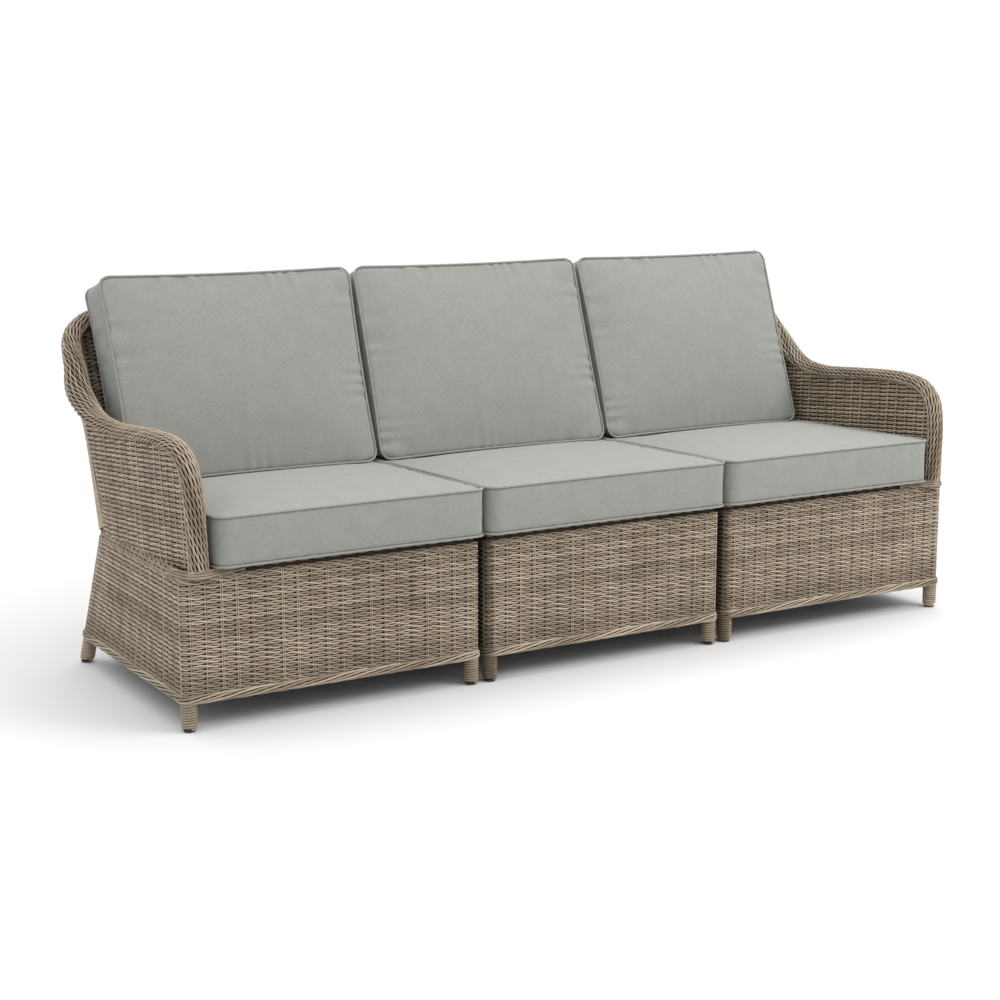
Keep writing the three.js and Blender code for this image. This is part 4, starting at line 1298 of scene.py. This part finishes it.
def build_cushions(material):
    """Makes all six cushions, fills them in one simulation, and dresses them."""
    made = []
    for module, start, end in cushion_spans(SEAT_ARM_GAP, SEAT_JOINT_GAP):
        cushion = Cushion(f"{module}_seat_cushion", end - start, SEAT_REAR - SEAT_FRONT, SEAT_THICKNESS,
                          SEAT_CROWN, seat_place(start), SEAT_CREASES, SEAT_SEAM_LIFT)
        cushion.stuff(*SEAT_FILLING, np.flatnonzero(cushion.local[:, 2] < PIPING_RADIUS))
        made.append((cushion, limit_seat))
    for module, start, end in cushion_spans(BACK_ARM_GAP, BACK_JOINT_GAP):
        cushion = Cushion(f"{module}_back_cushion", end - start, BACK_HEIGHT, BACK_THICKNESS, BACK_CROWN,
                          back_place(start, end, BACK_LEANS[module]), BACK_CREASES)
        cushion.stuff(*BACK_FILLING, np.array([], int))
        made.append((cushion, limit_back))
    for step in range(SIMULATED_FRAMES):
        bpy.context.scene.frame_set(step + 1)
    shifts = [cushion.settle(limit) for cushion, limit in made]
    bpy.context.scene.frame_set(1)
    piping = piping_tree()
    for (cushion, _), shift in zip(made, shifts):
        body = f"{cushion.name}_body"
        cords = cushion.finish(shift, material, body)
        grown(f"{cushion.name}_piping", cords, piping, material, body, "cushion_fabric")


# Assembly


class Weaver:
    """Grows the woven pieces of one module in their place."""

    def __init__(self, module, trees, finishes):
        self.module, self.trees, self.finishes = module, trees, finishes
        self.middle = module == "middle"
        self.width, self.inset = (MIDDLE_WIDTH, 0) if self.middle else (END_WIDTH, WAIST_INSET)

    def grow(self, part, lines, tree, finish, nodes=(), **sizes):
        grown(f"{self.module}_{part}", lines.placed(self.module), self.trees[tree], self.finishes[finish],
              nodes=[f"{self.module}_{node}" for node in nodes], **sizes)

    def back_up(self, part, rows, ring=False):
        """A dark skin of painted shade that shows in the holes of the weave, where the inside would lie in shadow.
        """
        shell(f"{self.module}_{part}", rows, self.module, self.finishes["core"], ring)

    def base(self):
        rows, edge, uprights, foot = base_lines(self.width, self.inset)
        self.grow("base_weave", rows, "twined_rows", "weave", ["base_skirt"])
        self.grow("base_edge", edge, "twined_rows", "weave")
        self.grow("base_stakes", uprights, "stakes", "weave")
        self.grow("foot_border", foot, "laid_border", "rim")
        # A dark sheet of painted shade behind the base's weave
        self.back_up("base_shade_backing", shade_backing_rows(self.width, self.inset), ring=True)

    def legs(self):
        """The wrapping on the four legs, from the glide up into the border."""
        names = ["front_outer", "front_inner", "rear_inner", "rear_outer"]
        if self.middle:
            names = ["front_left", "front_right", "rear_right", "rear_left"]
        lines = Lines()
        out, side = LEG_WRAP_FULLNESS * [0, -1, 0], LEG_WRAP_FULLNESS * [1, 0, 0]
        for low, high, inwards in zip(*base_corners(self.width, self.inset), INWARDS):
            foot, head = (np.array([*corner, 0]) + LEG_INSET * np.array([*inwards, 0]) for corner in (low, high))
            foot[2], head[2] = CLEAR_HEIGHT, rail_height(head[1])
            slope = (head - foot) / (head[2] - foot[2])
            lines.add([foot + slope * (z - foot[2]) for z in LEG_WRAP_HEIGHTS], out, side, 0)
        self.grow("leg_wrapping", lines, "wound", "rim", [f"leg_wrap_{name}" for name in names],
                  Radius=LEG_RADIUS + CLEARANCE + LEG_COVER - LEG_STRAND / 2, Pitch=0.0058,
                  Thickness=LEG_STRAND, Width=0.0050)

    def arm(self):
        for side, outer in (("outer", True), ("inner", False)):
            rows, stakes = arm_sheet(outer)
            self.grow(f"arm_{side}_weave", rows, "twined_rows", "weave", [f"arm_{side}_side"])
            self.grow(f"arm_{side}_stakes", stakes, "stakes", "weave")
        self.back_up("arm_shade_backing", arm_shade_backing())
        self.grow("rim_foot", collar_lines(), "twined_rows", "rim", Swing_Out=0.0014, Swing_Aside=0.0008,
                  Thickness=0.0046, Width=0.0050)

    def back(self):
        """Arm, posts, back sheet and rim."""
        foot, top = upright_ends()
        rise = top - foot
        cross = np.cross(unit(rise), (1, 0, 0))
        inner = self.width - LEG_INSET
        if self.middle:
            line = np.array([top, top + [self.width, 0, 0]])
            edge = np.array([foot, top]) + [LEG_INSET, 0, 0]
            uprights, wraps = [LEG_INSET, inner], ["left_post_wrap", "right_post_wrap"]
        else:
            line = hand_path(arm_points())
            post = hand_path(corner_post_points())
            edge = np.vstack([post, line[POST_MEETS:-SPAN_STEPS]])
            line = line[line[:, 2] > seat_top(0) - 0.002]
            uprights, wraps = [inner], ["corner_post_wrap", "inner_post_wrap"]
        rows, stakes, shade_backing = back_sheet(edge, inner)
        posts = Lines()
        for x in uprights:
            posts.add(foot + [x, 0, 0] + WRAPPED_SHARES * rise, (1, 0, 0), cross, 0)
        if not self.middle:
            posts.add(spaced(post, 0.01)[0][2:-2], (1, 0, 0), cross, 0)
            self.arm()
        self.grow("back_rows", rows, "twined_rows", "weave", ["back_weave"])
        self.back_up("back_shade_backing", shade_backing)
        self.grow("back_stakes", stakes, "stakes", "weave")
        self.grow("post_wrapping", posts, "wound", "rim", wraps,
                  Radius=POST_RADIUS + CLEARANCE + WRAP - POST_STRAND / 2)
        self.grow("rim_strands", rim_lines(line), "rim_strands", "rim", ["rim"])
        self.back_up("rim_core", rim_core(line))


def collar_lines():
    """Three rows of the base's top edge that bend out round the foot of the arm's rim."""
    lines = Lines()
    for k in range(COLLAR_ROWS):
        z = SEAT_HEIGHT - COLLAR_BELOW_SEAT + COLLAR_RISE * k
        back = COLLAR_STEP_BACK * k
        line = hand_path(np.vstack([
            np.array(COLLAR_SIDE) + [back, 0, z],
            np.array(COLLAR_FRONT) + [0, back, z],
        ]), 6)
        along = unit(np.gradient(line, axis=0))
        lines.add(line, *turned(along, (0, 0, 1)), math.pi * lengths_along(line) / STAKE_PITCH)
    return lines


def build_woven(**finishes):
    trees = {name: laid_tree(name, count, dict(zip(LAY_SIZES, sizes))) for name, (count, *sizes) in LAYS.items()}
    trees |= {"stakes": stake_tree(), "wound": wrapping_tree()}
    for module in ("left", "middle", "right"):
        weaver = Weaver(module, trees, finishes)
        weaver.base()
        weaver.legs()
        weaver.back()


def dress_kept_nodes(frame_finish, plastic, weave):
    for name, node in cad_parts.items():
        if name.endswith("_frame"):
            finish = frame_finish
        elif "glide" in name or "clip" in name:
            finish = plastic
        else:
            # Other kept nodes take the dark finish of painted shade
            finish = weave
        for place in node.material_slots:
            place.material = finish


set_camera()
set_studio()
# Painted shade: a dark strand finish for the skins behind the weave and the rim's core, where the inside lies in
# shadow
dark_shade_finish = strand_finish("painted_shade_strand", tone(62, 49, 38), tone(47, 37, 28), tone(34, 26, 20))
build_cushions(fabric_finish())
build_woven(
    weave=strand_finish("woven_strand", tone(182, 169, 150), tone(145, 130, 112), tone(91, 79, 65)),
    rim=strand_finish("rim_strand", tone(182, 168, 149), tone(144, 129, 111), tone(94, 81, 67)),
    core=dark_shade_finish,
)
dress_kept_nodes(tube_finish(), plastic_finish(), dark_shade_finish)
